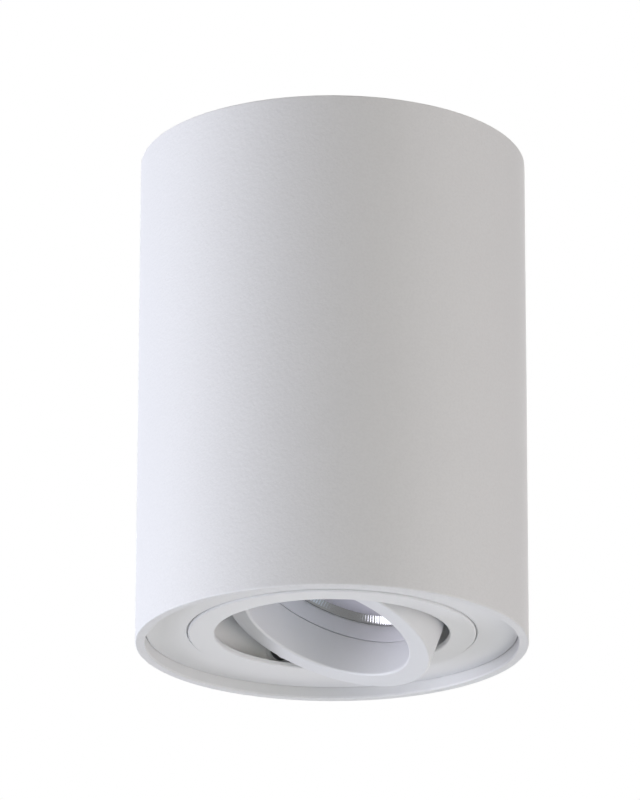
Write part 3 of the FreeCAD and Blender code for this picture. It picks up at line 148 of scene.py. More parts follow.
class SpotlightColours(bpy.types.PropertyGroup):
    """Colours of the finishes."""

    housing: colour("Housing paint", "Textured powder coat of the tube", (0.812, 0.816, 0.826))
    trim: colour("Trim paint", "Satin coat of the plate, ring and cup", (0.800, 0.805, 0.815))
    # The bore's dark colour is painted shade of the tube's closed inside.
    painted_shade_bore: colour("Bare bore", "Unpainted bore of the tube", (0.10, 0.10, 0.105))
    zinc: colour("Zinc", "Zinc plated steel", (0.42, 0.435, 0.46))
    spring: colour("Spring steel", "Oiled spring steel", (0.30, 0.31, 0.33))
    nickel: colour("Nickel", "Nickel plated screws", (0.66, 0.65, 0.63))
    brass: colour("Brass", "Turned brass", (0.72, 0.50, 0.20))
    copper: colour("Copper", "Bright copper", (0.72, 0.38, 0.24))
    rubber: colour("Rubber", "Black rubber", (0.030, 0.030, 0.032))
    natural: colour("Natural plastic", "Undyed plastic", (0.74, 0.74, 0.70))
    # The bushes are black plastic; their black also stands in for the shade in the gap beside the
    # cup's lip.
    bearing: colour("Bearing plastic", "Black bushes of the tilt axis", (0.035, 0.035, 0.037))
    silicone: colour("Silicone", "Soft ring under the lamp", (0.76, 0.76, 0.79))
    lamp: colour("Lamp plastic", "White body of the lamp", (0.78, 0.78, 0.79))
    lens: colour("Lens", "Moulded lens of the lamp", (0.88, 0.86, 0.95))
    mirror: colour("Mirror", "Coated ribs of the lens", (0.33, 0.335, 0.34))
    phosphor: colour("Phosphor", "Light-emitting chips", (0.80, 0.62, 0.12))
    ceramic: colour("Ceramic", "Unglazed ceramic", (0.72, 0.69, 0.62))
    speck: colour("Specks", "Specks in the ceramic", (0.30, 0.27, 0.23))
    lead: colour("Lead", "Insulation of the lamp's leads", (0.70, 0.70, 0.67))
    earth_green: colour("Earth green", "Green of the earth lead", (0.05, 0.32, 0.08))
    earth_yellow: colour("Earth yellow", "Yellow of the earth lead", (0.80, 0.66, 0.05))


# ---- Materials ----
class Value:
    """A number in a tree; arithmetic on it adds Math nodes."""

    def __init__(self, tree, socket):
        self.tree = tree
        self.socket = socket

    def __add__(self, other):
        return self.tree.maths("ADD", self, other)

    def __sub__(self, other):
        return self.tree.maths("SUBTRACT", self, other)

    def __rsub__(self, other):
        return self.tree.maths("SUBTRACT", other, self)

    def __mul__(self, other):
        return self.tree.maths("MULTIPLY", self, other)

    __radd__ = __add__
    __rmul__ = __mul__


class Tree:
    """A node tree being made."""

    def __init__(self, tree):
        self.tree = tree

    def node(self, kind, sockets=(), **settings):
        """A node of a type, its settings made first and then its sockets set or linked."""
        made = self.tree.nodes.new(kind)
        for name, value in settings.items():
            setattr(made, name, value)
        for label, value in dict(sockets).items():
            self.put(made.inputs[label], value)
        return made

    def put(self, socket, value):
        """Links a value or a socket to a socket, or sets a constant on it."""
        if isinstance(value, Value):
            value = value.socket
        if isinstance(value, bpy.types.NodeSocket):
            self.tree.links.new(value, socket)
        else:
            socket.default_value = value

    def maths(self, operation, *operands):
        """A Math node's result."""
        made = self.node("ShaderNodeMath", enumerate(operands), operation=operation)
        return Value(self, made.outputs[0])


class Finish(Tree):
    """A material being made, with its shader and the place of each point of the object."""

    def __init__(self, name):
        self.material = bpy.data.materials.new(name)
        self.material.use_nodes = True
        super().__init__(self.material.node_tree)
        self.shader = self.tree.nodes["Principled BSDF"]
        self.place = self.node("ShaderNodeTexCoord").outputs["Object"]

    def set(self, **sockets):
        """Sets or links sockets of the shader."""
        for label, value in sockets.items():
            self.put(self.shader.inputs[label.replace("_", " ")], value)

    def noise(self, scale, detail=2.0, place=None):
        """Noise from 0 to 1 with a number of grains to the metre."""
        sockets = {"Vector": place or self.place, "Scale": scale, "Detail": detail}
        return Value(self, self.node("ShaderNodeTexNoise", sockets).outputs["Fac"])

    def stretched(self, scale):
        """The place stretched along its axes, for streaks."""
        made = self.node("ShaderNodeMapping", {"Vector": self.place, "Scale": scale})
        return made.outputs["Vector"]

    def turned(self):
        """Distance from the Z axis, and height."""
        parts = self.node("ShaderNodeSeparateXYZ", {0: self.place}).outputs
        across, deep, height = (Value(self, part) for part in parts)
        return self.maths("SQRT", across * across + deep * deep), height

    def vectors(self, operation, *operands, output="Vector"):
        """A Vector Math node's result."""
        made = self.node("ShaderNodeVectorMath", enumerate(operands), operation=operation)
        return made.outputs[output]

    def along(self, origin, direction):
        """Distance from a point, measured along a direction."""
        offset = self.vectors("SUBTRACT", self.place, origin)
        return Value(self, self.vectors("DOT_PRODUCT", offset, direction, output="Value"))

    def off_axis(self, origin, direction):
        """Distance from an axis through a point."""
        offset = self.vectors("SUBTRACT", self.place, origin)
        across = self.vectors("CROSS_PRODUCT", offset, direction)
        return Value(self, self.vectors("LENGTH", across, output="Value"))

    def step(self, value, low, high, out_low=0.0, out_high=1.0):
        """A value brought smoothly from one range to another."""
        made = self.node("ShaderNodeMapRange", enumerate((value, low, high, out_low, out_high)),
                         interpolation_type="SMOOTHSTEP")
        return Value(self, made.outputs[0])

    def blend(self, share, first, second):
        """A colour between two colours."""
        made = self.node("ShaderNodeMix", data_type="RGBA")
        for index, value in ((0, share), (6, first), (7, second)):
            if isinstance(value, (tuple, list)):
                value = (*value, 1.0)
            self.put(made.inputs[index], value)
        return made.outputs[2]

    def tones(self, share, base, low, high):
        """A colour between a darker and a lighter tone of itself."""
        return self.blend(share, shade(base, low), shade(base, high))

    def bumps(self, *layers):
        """Relief from (height, distance, strength) layers, into the shader's normal."""
        normal = None
        for height, distance, strength in layers:
            sockets = {"Height": height, "Distance": distance, "Strength": strength}
            if normal:
                sockets["Normal"] = normal
            normal = self.node("ShaderNodeBump", sockets).outputs["Normal"]
        self.set(Normal=normal)


def shade(base, factor):
    """A colour made lighter or darker."""
    return tuple(min(1.0, channel * factor) for channel in base)


def housing_paint(finish, colours):
    """Fine-textured powder coat, with painted shade inside the mouth, and an unpainted, dull bore
    above the trim plate made dark as painted shade.
    """
    sizes = bpy.context.scene.spotlight_sizes
    radius, height = finish.turned()
    inside = finish.step(radius, sizes.tube_radius - sizes.mouth_wall,
                         sizes.tube_radius - 0.4 * sizes.tube_wall, 1.0, 0.0)
    above = finish.step(height, PLATE_LOW.z + 0.5 * MM, PLATE_LOW.z + 4.0 * MM)
    # Painted shade: the unpainted bore above the trim plate is made dark.
    painted_shade_bore = inside * above
    speckle = finish.noise(1700.0, 3.0)
    cloud = finish.noise(28.0, 2.0)
    painted = finish.tones(cloud, colours.housing, 0.985, 1.01)
    painted = finish.blend(finish.step(speckle, 0.35, 0.7, 0.0, 0.24), painted,
                           shade(colours.housing, 0.88))
    streaks = finish.noise(30.0, 3.0, finish.stretched((4.0, 4.0, 90.0)))
    metal = finish.tones(streaks, colours.painted_shade_bore, 0.75, 1.3)
    # Painted shade: the inner wall of the tube's mouth, round the recessed trim plate, is made
    # darker.
    mouth = finish.step(height, TUBE_LOW.z + 0.3 * MM, TUBE_LOW.z + 0.8 * MM)
    painted = finish.blend(inside * (1.0 - above) * mouth, painted, shade(colours.housing, 0.88))
    finish.set(IOR=1.5,
               Base_Color=finish.blend(painted_shade_bore, painted, metal),
               Metallic=painted_shade_bore * 0.6,
               Roughness=0.52 + speckle * 0.16 - painted_shade_bore * 0.1)
    grain = finish.noise(1100.0, 2.0) + finish.noise(2100.0, 2.0) * 0.6
    finish.bumps((grain * (1.0 - painted_shade_bore), 0.075 * MM, 0.75), (streaks * painted_shade_bore, 0.02 * MM, 0.4))


def trim_paint(finish, colours):
    """Satin coat of the trim plate, ring and cup, with painted light making the inside of the
    ring's skirt lighter.
    """
    sizes = bpy.context.scene.spotlight_sizes
    radius, height = finish.turned()
    lip = RING_LOW.z + sizes.ring_lip
    # Painted light: the inside of the ring's skirt, deep in the opening, is made lighter than the
    # rest of the coat.
    skirt = finish.step(radius, sizes.opening_radius + 1.5 * MM, sizes.opening_radius + 3.0 * MM)
    skirt = skirt * finish.step(height, lip, lip + 0.3 * MM)
    speckle = finish.noise(1900.0, 2.0)
    cloud = finish.noise(45.0, 2.0)
    painted = finish.tones(cloud, colours.trim, 0.985, 1.01)
    painted = finish.blend(skirt, painted, shade(colours.trim, 1.17))
    specks = finish.step(speckle, 0.4, 0.75, 0.0, 0.10)
    finish.set(IOR=1.5, Coat_Roughness=0.30,
               Base_Color=finish.blend(specks, painted, shade(colours.trim, 0.92)),
               Roughness=0.40 + speckle * 0.14,
               Coat_Weight=0.12 + cloud * 0.06)
    finish.bumps((finish.noise(1200.0, 2.0), 0.03 * MM, 0.35),
                 (finish.noise(220.0, 1.0), 0.05 * MM, 0.12))


def plated(finish, colours, name, roughness, streak, spots=0.25):
    """Plated or bare metal with streaks from its making and a few dull spots."""
    base = getattr(colours, name)
    streaks = finish.noise(900.0, 3.0, finish.stretched(streak))
    dull = finish.step(finish.noise(240.0, 3.0), 0.55, 0.75, 0.0, spots)
    tone = finish.tones(streaks, base, 0.86, 1.08)
    finish.set(Metallic=1.0,
               Base_Color=finish.blend(dull, tone, shade(base, 0.62)),
               Roughness=roughness + streaks * 0.14 + dull * 0.5)
    finish.bumps((streaks, 0.01 * MM, 0.3))


def moulded(finish, colours, name, roughness, grain, relief, lightness=1.0, depth=0.0):
    """Moulded plastic, rubber or silicone with a fine grain and slight flow marks."""
    base = shade(getattr(colours, name), lightness)
    fine = finish.noise(grain, 2.0)
    finish.set(Base_Color=finish.tones(finish.noise(60.0, 3.0), base, 0.94, 1.04),
               Roughness=roughness + fine * 0.12)
    if depth:
        finish.set(Subsurface_Weight=0.1, Subsurface_Scale=depth * MM)
    finish.bumps((fine, relief * MM, 0.4))


def ceramic(finish, colours):
    """Unglazed ceramic with dark specks and a dry, grainy face."""
    specks = finish.step(finish.noise(1700.0, 2.0), 0.66, 0.74)
    cloud = finish.noise(120.0, 3.0)
    body = finish.tones(cloud, colours.ceramic, 0.93, 1.04)
    finish.set(IOR=1.5,
               Base_Color=finish.blend(specks * 0.5, body, tuple(colours.speck)),
               Roughness=0.78 + cloud * 0.12)
    finish.bumps((finish.noise(900.0, 4.0), 0.05 * MM, 0.5))


def lens(finish, colours):
    """Moulded lens: milky in the middle, with a mirror-coated, finely ribbed bevel round it."""
    ribs = finish.step(finish.off_axis(PIVOT, CUP_AXIS), (LENS_MIDDLE - 0.3) * MM,
                       (LENS_MIDDLE + 0.1) * MM)
    haze = finish.noise(160.0, 2.0)
    milky = finish.tones(haze, colours.lens, 0.94, 1.04)
    finish.set(IOR=1.49, Transmission_Weight=0.12, Coat_Roughness=0.04,
               Base_Color=finish.blend(ribs, milky, tuple(colours.mirror)),
               Metallic=ribs * 0.95,
               Roughness=0.20 + haze * 0.08 - ribs * 0.06,
               Coat_Weight=0.35 + haze * 0.2)
    finish.bumps((finish.noise(500.0, 1.0), 0.01 * MM, 0.2))


def light_board(finish, colours):
    """White solder mask, with yellow light-emitting chips on its front."""
    board = frame["nodes"]["lamp_light_board"].data.vertices
    front = min((vertex.co - PIVOT).dot(CUP_AXIS) for vertex in board)
    chip = finish.step(finish.along(PIVOT, CUP_AXIS), front + CHIP_HEIGHT - 0.05 * MM,
                       front + CHIP_HEIGHT + 0.05 * MM, 1.0, 0.0)
    mask = finish.noise(500.0, 2.0)
    base = finish.blend(mask, *MASK_TONES)
    finish.set(Base_Color=finish.blend(chip, base, tuple(colours.phosphor)),
               Roughness=0.35 + mask * 0.2)


CHIP_HEIGHT = 0.5 * MM
MASK_TONES = ((0.76, 0.76, 0.73), (0.83, 0.83, 0.81))


def earth_insulation(finish, colours):
    """Green insulation with a yellow stripe along it."""
    around = finish.node("ShaderNodeAttribute", attribute_name="around").outputs["Fac"]
    flow = finish.noise(400.0, 2.0)
    green = finish.tones(flow, colours.earth_green, 0.9, 1.1)
    finish.set(IOR=1.5,
               Base_Color=finish.blend(finish.step(around, 0.25, 0.35), green,
                                       tuple(colours.earth_yellow)),
               Roughness=0.38 + flow * 0.12)


MATERIALS = {
    "housing_paint": (housing_paint,),
    "trim_paint": (trim_paint,),
    "lens": (lens,),
    "light_board": (light_board,),
    "ceramic": (ceramic,),
    "earth_insulation": (earth_insulation,),
    # Colour, roughness, stretch of the streaks and share of dull spots.
    "zinc_steel": (plated, "zinc", 0.30, (1.0, 0.15, 1.0)),
    "spring_steel": (plated, "spring", 0.28, (1.0, 1.0, 0.1), 0.35),
    "screw_steel": (plated, "nickel", 0.20, (1.0, 1.0, 1.0), 0.15),
    "brass": (plated, "brass", 0.26, (1.0, 0.2, 1.0)),
    "copper": (plated, "copper", 0.26, (1.0, 0.2, 1.0)),
    # Colour, roughness, grains to the metre, relief, lightness and depth of the light in it.
    "rubber_black": (moulded, "rubber", 0.62, 900.0, 0.04),
    "block_plastic": (moulded, "natural", 0.34, 500.0, 0.02, 1.0, 2.0),
    "glide_plastic": (moulded, "natural", 0.30, 1200.0, 0.01, 1.06),
    "bearing_plastic": (moulded, "bearing", 0.42, 1000.0, 0.015),
    "silicone": (moulded, "silicone", 0.45, 800.0, 0.015),
    "lamp_plastic": (moulded, "lamp", 0.36, 900.0, 0.015),
    "lead_silicone": (moulded, "lead", 0.42, 1500.0, 0.02),
    "tie_nylon": (moulded, "natural", 0.38, 1000.0, 0.015),
}


def finish_for(slot):
    """The material of a slot, made once."""
    made = bpy.data.materials.get("finish." + slot)
    if made is None:
        finish = Finish("finish." + slot)
        maker, *details = MATERIALS[slot]
        maker(finish, bpy.context.scene.spotlight_colours, *details)
        made = finish.material
    return made


# ---- Meshes ----
def facing(place, way):
    """Matrix that moves to a place and turns the Z axis to a way."""
    return Matrix.Translation(place) @ way.to_track_quat("Z", "Y").to_matrix().to_4x4()


def rounded(corners):
    """Points of a closed outline from (across, up) or (across, up, round) corners."""
    points = []
    for index, corner in enumerate(corners):
        here = Vector(corner[:2])
        if len(corner) < 3:
            points.append(here)
            continue
        back = Vector(corners[index - 1][:2]) - here
        ahead = Vector(corners[(index + 1) % len(corners)][:2]) - here
        half = back.angle(ahead) / 2
        reach = min(corner[2] / math.tan(half), ROUND_SHARE * back.length,
                    ROUND_SHARE * ahead.length)
        radius = reach * math.tan(half)
        strips = [min(EDGE_STRIP, STRIP_SHARE * side.length) for side in (back, ahead)]
        back.normalize()
        ahead.normalize()
        centre = here + (back + ahead).normalized() * (radius / math.sin(half))
        first = here + back * reach - centre
        last = here + ahead * reach - centre
        points.append(here + back * (reach + strips[0]))
        for step in range(ROUND_STEPS + 1):
            points.append(centre + first.lerp(last, step / ROUND_STEPS).normalized() * radius)
        points.append(here + ahead * (reach + strips[1]))
    return points


def closed(mesh):
    """The mesh with its doubles merged and its faces pointing outwards."""
    bmesh.ops.remove_doubles(mesh, verts=mesh.verts, dist=MERGE)
    bmesh.ops.recalc_face_normals(mesh, faces=mesh.faces)
    return mesh


def polar(radius, height, angle):
    """Point at a radius, height and angle about Z."""
    return radius * math.cos(angle), radius * math.sin(angle), height


def lathe(corners, sides=LATHE_SIDES):
    """Closed mesh turned about Z from (radius, height, round) corners."""
    mesh = bmesh.new()
    outline = rounded(corners)
    rings = []
    for step in range(sides):
        angle = math.tau * step / sides
        rings.append([mesh.verts.new(polar(point.x, point.y, angle)) for point in outline])
    for step, ring in enumerate(rings):
        following = rings[(step + 1) % sides]
        for index in range(len(outline)):
            before = index - 1
            if outline[index].x > MERGE or outline[before].x > MERGE:
                mesh.faces.new((ring[before], following[before], following[index], ring[index]))
    return closed(mesh)


def cylinder(radius, start, end, sides=BAR_SIDES):
    """Closed round bar between two points."""
    mesh = bmesh.new()
    reach = Vector(end) - Vector(start)
    bmesh.ops.create_cone(mesh, cap_ends=True, segments=sides, radius1=radius, radius2=radius,
                          depth=reach.length,
                          matrix=facing((Vector(start) + Vector(end)) / 2, reach))
    return mesh


def crossbar(radius, start, end, height=0.0):
    """Closed round bar between two places along X."""
    return cylinder(radius, (start, 0.0, height), (end, 0.0, height))


def box(low, high):
    """Closed box between two corners."""
    mesh = bmesh.new()
    size = Vector(high) - Vector(low)
    place = Matrix.Translation((Vector(high) + Vector(low)) / 2) @ Matrix.Diagonal((*size, 1.0))
    bmesh.ops.create_cube(mesh, size=1.0, matrix=place)
    return mesh


def moved(mesh, place):
    """The mesh moved by a matrix."""
    bmesh.ops.transform(mesh, matrix=place, verts=mesh.verts)
    return mesh


def linked(name, data):
    """An object in the scene that holds the data."""
    made = bpy.data.objects.new(name, data)
    bpy.context.scene.collection.objects.link(made)
    return made


def loose(name, mesh):
    """An object that holds the mesh, riding on nothing yet."""
    data = bpy.data.meshes.new(name)
    mesh.to_mesh(data)
    mesh.free()
    return linked(name, data)


def evaluated(made, others=()):
    """The mesh that an object's modifiers give; the object and its helpers are removed."""
    bpy.context.view_layer.update()
    graph = bpy.context.evaluated_depsgraph_get()
    data = bpy.data.meshes.new_from_object(made.evaluated_get(graph))
    mesh = bmesh.new()
    mesh.from_mesh(data)
    bpy.data.meshes.remove(data)
    for each in (made, *others):
        bpy.data.objects.remove(each)
    return mesh


def combined(mesh, tools, operation):
    """The mesh with each tool mesh joined to it (UNION) or cut from it (DIFFERENCE)."""
    whole = loose("whole", mesh)
    helpers = [loose("tool", tool) for tool in tools]
    for helper in helpers:
        carve = whole.modifiers.new("carve", "BOOLEAN")
        carve.object = helper
        carve.operation = operation
        carve.solver = "EXACT"
    return evaluated(whole, helpers)


def piece(name, mesh, node, body=None, place=None):
    """A finished piece in place of a node, on a body if it rides whole on one."""
    if place:
        moved(mesh, place)
    made = loose(name, mesh)
    made.data.materials.append(finish_for(SLOTS[node]))
    for polygon in made.data.polygons:
        polygon.use_smooth = True
        polygon.material_index = 0
    made.data.set_sharp_from_angle(angle=SHARP_ANGLE)
    if body:
        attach(made, body)
    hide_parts(node)
    return made


def flat_faces(mesh):
    """Indices of the faces that lie in flat regions of a few triangles or more."""
    mesh.faces.index_update()
    found = []
    seen = set()
    for start in mesh.faces:
        if start in seen:
            continue
        seen.add(start)
        region = [start]
        for face in region:
            for other in (near for edge in face.edges for near in edge.link_faces):
                if other not in seen and other.normal.dot(start.normal) > FLATNESS:
                    seen.add(other)
                    region.append(other)
        if len(region) >= FLAT_REGION:
            found += [face.index for face in region]
    return found


def smoothed(body, **names):
    """Pieces with the forms of a body's nodes, shaded flat on flats and smooth where round."""
    for node, name in names.items():
        mesh = bmesh.new()
        mesh.from_mesh(frame["nodes"][node].data)
        bmesh.ops.remove_doubles(mesh, verts=mesh.verts, dist=MERGE)
        mesh.normal_update()
        flats = flat_faces(mesh)
        made = piece(name, mesh, node, body)
        for index in flats:
            made.data.polygons[index].use_smooth = False


# ---- Geometry Nodes ----
class Maker(Tree):
    """A Geometry Nodes tree being made, with named inputs."""

    def __init__(self, name, **inputs):
        super().__init__(bpy.data.node_groups.new(name, "GeometryNodeTree"))
        sockets = [("Geometry", "Geometry"), *inputs.items(), ("Material", "Material")]
        for label, kind in sockets:
            self.tree.interface.new_socket(label.replace("_", " "), in_out="INPUT",
                                           socket_type="NodeSocket" + kind)
        self.tree.interface.new_socket("Geometry", in_out="OUTPUT",
                                       socket_type="NodeSocketGeometry")
        self.inputs = self.node("NodeGroupInput").outputs

    def finish(self, geometry):
        """Ends the tree with real meshes in their material."""
        real = self.node("GeometryNodeRealizeInstances", {0: geometry})
        dressed = self.node("GeometryNodeSetMaterial",
                            {"Geometry": real.outputs[0], "Material": self.inputs["Material"]})
        self.node("NodeGroupOutput", {0: dressed.outputs[0]})
        return self.tree


def ring_maker(name):
    """Tree that sets copies of a mesh evenly about Z."""
    maker = Maker(name, Copies="Int")
    points = maker.node("GeometryNodePoints", {"Count": maker.inputs["Copies"]})
    index = maker.node("GeometryNodeInputIndex").outputs[0]
    angle = maker.maths("DIVIDE", maker.maths("MULTIPLY", index, math.tau),
                        maker.inputs["Copies"])
    spin = maker.node("ShaderNodeCombineXYZ", {"Z": angle}).outputs[0]
    copies = maker.node("GeometryNodeInstanceOnPoints",
                        {"Points": points.outputs[0], "Instance": maker.inputs["Geometry"],
                         "Rotation": spin})
    return maker.finish(copies.outputs[0])


def tube_maker(name):
    """Tree that makes a round tube on a route, and marks how far round it each point is."""
    maker = Maker(name, Radius="Float", Sides="Int")
    circle = maker.node("GeometryNodeCurvePrimitiveCircle",
                        {"Resolution": maker.inputs["Sides"], "Radius": maker.inputs["Radius"]})
    share = maker.node("GeometryNodeSplineParameter").outputs["Factor"]
    around = maker.maths("COSINE", maker.maths("MULTIPLY", share, math.tau))
    marked = maker.node("GeometryNodeStoreNamedAttribute",
                        {"Geometry": circle.outputs["Curve"], "Name": "around", "Value": around},
                        data_type="FLOAT", domain="POINT")
    tube = maker.node("GeometryNodeCurveToMesh",
                      {"Curve": maker.inputs["Geometry"], "Profile Curve": marked.outputs[0],
                       "Fill Caps": True})
    return maker.finish(tube.outputs[0])


MAKERS = {"copies_around": ring_maker, "tube_on_route": tube_maker}


def made_by(maker, start, slot, **inputs):
    """The plain mesh that a tree makes from an object."""
    tree = bpy.data.node_groups.get(maker) or MAKERS[maker](maker)
    modifier = start.modifiers.new("maker", "NODES")
    modifier.node_group = tree
    inputs["Material"] = finish_for(slot)
    for item in tree.interface.items_tree:
        label = item.name.replace(" ", "_")
        if item.in_out == "INPUT" and label in inputs:
            modifier[item.identifier] = inputs[label]
    return evaluated(start)


def tubes_on(routes, slot):
    """Insulated leads on smooth routes through lists of points."""
    curve = bpy.data.curves.new("routes", "CURVE")
    curve.dimensions = "3D"
    for points in routes:
        spline = curve.splines.new("NURBS")
        spline.points.add(len(points) - 1)
        for point, place in zip(spline.points, points):
            point.co = (*place, 1.0)
        spline.order_u = ROUTE_ORDER
        spline.use_endpoint_u = True
        spline.resolution_u = LEAD_STEPS
    radius = bpy.context.scene.spotlight_sizes.lead_radius
    return made_by("tube_on_route", linked("routes", curve), slot, Radius=radius,
                   Sides=LEAD_SIDES)


# ---- Operators ----
class SPOTLIGHT_OT_stage(bpy.types.Operator):
    """Sets the camera, the lamps, the white surroundings and the floor"""

    bl_idname = "spotlight.stage"
    bl_label = "Stage"

    def execute(self, context):
        scene = context.scene
        scene.view_settings.view_transform = "Standard"
        self.camera(scene)
        self.surroundings(scene)
        self.floor()
        for lamp in LAMPS:
            self.lamp(*lamp)
        return {"FINISHED"}

    def camera(self, scene):
        """Camera below the light, looking up at it."""
        data = bpy.data.cameras.new("camera")
        data.sensor_width = SENSOR_WIDTH
        data.lens = CAMERA_LENS
        data.clip_end = CLIP_END
        scene.camera = linked("camera", data)
        back = outwards(CAMERA_AZIMUTH, CAMERA_ELEVATION)
        roll = Matrix.Rotation(math.radians(CAMERA_ROLL), 4, "Z")
        scene.camera.matrix_world = facing(CAMERA_PLACE, back) @ roll

    def surroundings(self, scene):
        """World that looks white and lights the object softly."""
        world = bpy.data.worlds.new("surroundings")
        world.use_nodes = True
        scene.world = world
        light = Tree(world.node_tree)
        ray = light.node("ShaderNodeLightPath").outputs
        seen = light.maths("MAXIMUM", ray["Is Camera Ray"], ray["Is Glossy Ray"])
        seen = light.maths("MAXIMUM", seen, ray["Is Transmission Ray"])
        level = light.node("ShaderNodeMapRange", {"To Min": WORLD_LIGHT, "Value": seen})
        background = light.tree.nodes["Background"].inputs
        light.put(background["Strength"], level.outputs["Result"])
        light.put(background["Color"], WHITE)

    def floor(self):
        """Plain pale floor far below the light."""
        mesh = bmesh.new()
        bmesh.ops.create_grid(mesh, x_segments=1, y_segments=1, size=FLOOR_SIZE,
                              matrix=Matrix.Translation((0.0, 0.0, FLOOR_Z)))
        made = loose("floor", mesh)
        finish = Finish("floor")
        tone = finish.noise(3.0, 2.0)
        finish.set(Base_Color=finish.tones(tone, WHITE[:3], *FLOOR_TONES), Roughness=0.9)
        ray = finish.node("ShaderNodeLightPath").outputs
        seen = (Value(finish, ray["Is Camera Ray"]) * FLOOR_WHITE
                + Value(finish, ray["Is Glossy Ray"]) * FLOOR_SHEEN)
        glow = finish.node("ShaderNodeEmission", {"Color": WHITE, "Strength": 1.0})
        mix = finish.node("ShaderNodeMixShader",
                          {0: seen, 1: finish.shader.outputs[0], 2: glow.outputs[0]})
        finish.put(finish.tree.nodes["Material Output"].inputs["Surface"], mix.outputs[0])
        made.data.materials.append(finish.material)

    def lamp(self, name, azimuth, elevation, far, width, watts, tint):
        """Soft square lamp that faces the middle of the light."""
        data = bpy.data.lights.new(name, "AREA")
        data.size = width
        data.energy = watts
        data.color = tint
        back = outwards(azimuth, elevation)
        middle = Vector((0.0, 0.0, TUBE_LOW.z / 2))
        linked(name, data).matrix_world = facing(middle + back * far, back)


def outwards(azimuth, elevation):
    """Direction at degrees to the right of the front and above the level."""
    turn = math.radians(azimuth)
    rise = math.radians(elevation)
    return Vector((math.sin(turn) * math.cos(rise), -math.cos(turn) * math.cos(rise),
                   math.sin(rise)))


CAMERA_PLACE = (0.0112, -1.4382, -0.5707)
CAMERA_AZIMUTH = 0.568
CAMERA_ELEVATION = -19.488
CAMERA_ROLL = 0.144
CAMERA_LENS = 277.83
SENSOR_WIDTH = 36.0
CLIP_END = 50.0
WORLD_LIGHT = 0.04
FLOOR_Z = -2.4
FLOOR_SIZE = 30.0
FLOOR_TONES = (0.86, 0.88)
FLOOR_WHITE = 0.9  # how far the camera sees the floor as plain white
FLOOR_SHEEN = 0.42  # how far the object's reflections do
# Name, azimuth from the camera's side (to the right), elevation, distance, width, watts, tint.
LAMPS = (
    ("left_lamp", -88.0, -6.0, 1.6, 1.1, 18.9, (0.89, 0.93, 1.0)),
    ("low_left_lamp", -80.0, -20.0, 1.8, 0.8, 12.2, (0.89, 0.87, 1.0)),
    ("front_lamp", 10.0, 25.0, 1.8, 1.2, 4.6, (1.0, 0.91, 0.93)),
    ("low_front_lamp", 10.0, -20.0, 1.8, 1.2, 5.6, (1.0, 0.98, 0.83)),
    ("right_lamp", 60.0, 15.0, 1.8, 1.2, 3.3, (1.0, 0.95, 0.90)),
    ("low_right_lamp", 45.0, -50.0, 1.8, 1.2, 5.0, (0.64, 0.80, 1.0)),
    ("far_right_lamp", 80.0, -33.0, 1.8, 1.2, 11.2, (1.0, 0.90, 0.84)),
    ("low_back_lamp", 170.0, -35.0, 1.8, 1.2, 4.6, (1.0, 1.0, 0.96)),
    ("back_lamp", 175.0, 10.0, 1.8, 1.2, 10.0, (1.0, 0.99, 0.98)),
    ("top_lamp", 150.0, 70.0, 1.8, 1.2, 6.0, (1.0, 1.0, 1.0)),
)


class SPOTLIGHT_OT_housing(bpy.types.Operator):
    """Makes the housing tube with its bored mouth and its two screw holes"""

    bl_idname = "spotlight.housing"
    bl_label = "Housing tube"

    def execute(self, context):
        sizes = context.scene.spotlight_sizes
        rim = -sizes.tube_length
        outer = sizes.tube_radius
        mouth = outer - sizes.mouth_wall
        bore = outer - sizes.tube_wall
        shoulder = PLATE_LOW.z + sizes.plate_rim
        tube = lathe([
            (mouth, rim, sizes.tube_round / 2), (outer, rim, sizes.tube_round),
            (outer, -SCREW_DROP - HOLE_BAND), (outer, -SCREW_DROP + HOLE_BAND),
            (outer, 0.0, sizes.tube_round), (bore, 0.0), (bore, shoulder), (mouth, shoulder),
        ], TUBE_SIDES)
        hole = crossbar(SCREW_HOLE_RADIUS, -outer - MM, outer + MM, -SCREW_DROP)
        piece("housing_shell", combined(tube, [hole], "DIFFERENCE"), "housing_tube", "housing")
        return {"FINISHED"}


SCREW_DROP = 8.0 * MM  # from the ceiling to the side screws
SCREW_HOLE_RADIUS = 2.25 * MM
HOLE_BAND = 2.6 * MM  # half the height of the wall's band that has the screw holes


class SPOTLIGHT_OT_trim_plate(bpy.types.Operator):
    """Makes the recessed trim plate with its rear collar, rim and stop post"""

    bl_idname = "spotlight.trim_plate"
    bl_label = "Trim plate"

    def execute(self, context):
        sizes = context.scene.spotlight_sizes
        face = PLATE_LOW.z
        back = face + sizes.plate_thickness
        hole = sizes.ring_radius + sizes.ring_gap
        collar_bore = sizes.skirt_radius + COLLAR_PLAY
        collar = collar_bore + sizes.collar_wall
        top = back + sizes.collar_height
        ledge = RING_LOW.z + sizes.ring_lip + COLLAR_PLAY
        rim = sizes.plate_radius - sizes.plate_rim_wall
        plate = lathe([
            (hole, face, PLATE_ROUND), (sizes.plate_radius, face, PLATE_ROUND),
            (sizes.plate_radius, face + sizes.plate_rim), (rim, face + sizes.plate_rim),
            (rim, back, 2 * PLATE_ROUND), (collar, back, 2 * PLATE_ROUND),
            (collar, top, PLATE_ROUND / 2), (collar_bore, top, PLATE_ROUND / 2),
            (collar_bore, ledge), (hole, ledge),
        ])
        post = box((collar - sizes.collar_wall / 2, -POST_WIDTH / 2, back - PLATE_ROUND),
                   (collar + POST_DEPTH, POST_WIDTH / 2, RING_HIGH.z))
        clear = cylinder(collar + GAP, (0.0, 0.0, top), (0.0, 0.0, RING_HIGH.z + MM),
                         LATHE_SIDES)
        post = combined(post, [clear], "DIFFERENCE")
        piece("trim_plate_face", combined(plate, [post], "UNION"), "trim_plate", "housing")
        return {"FINISHED"}


COLLAR_PLAY = 0.06 * MM
GAP = 0.05 * MM
PLATE_ROUND = 0.3 * MM
POST_WIDTH = 2.4 * MM
POST_DEPTH = 1.8 * MM


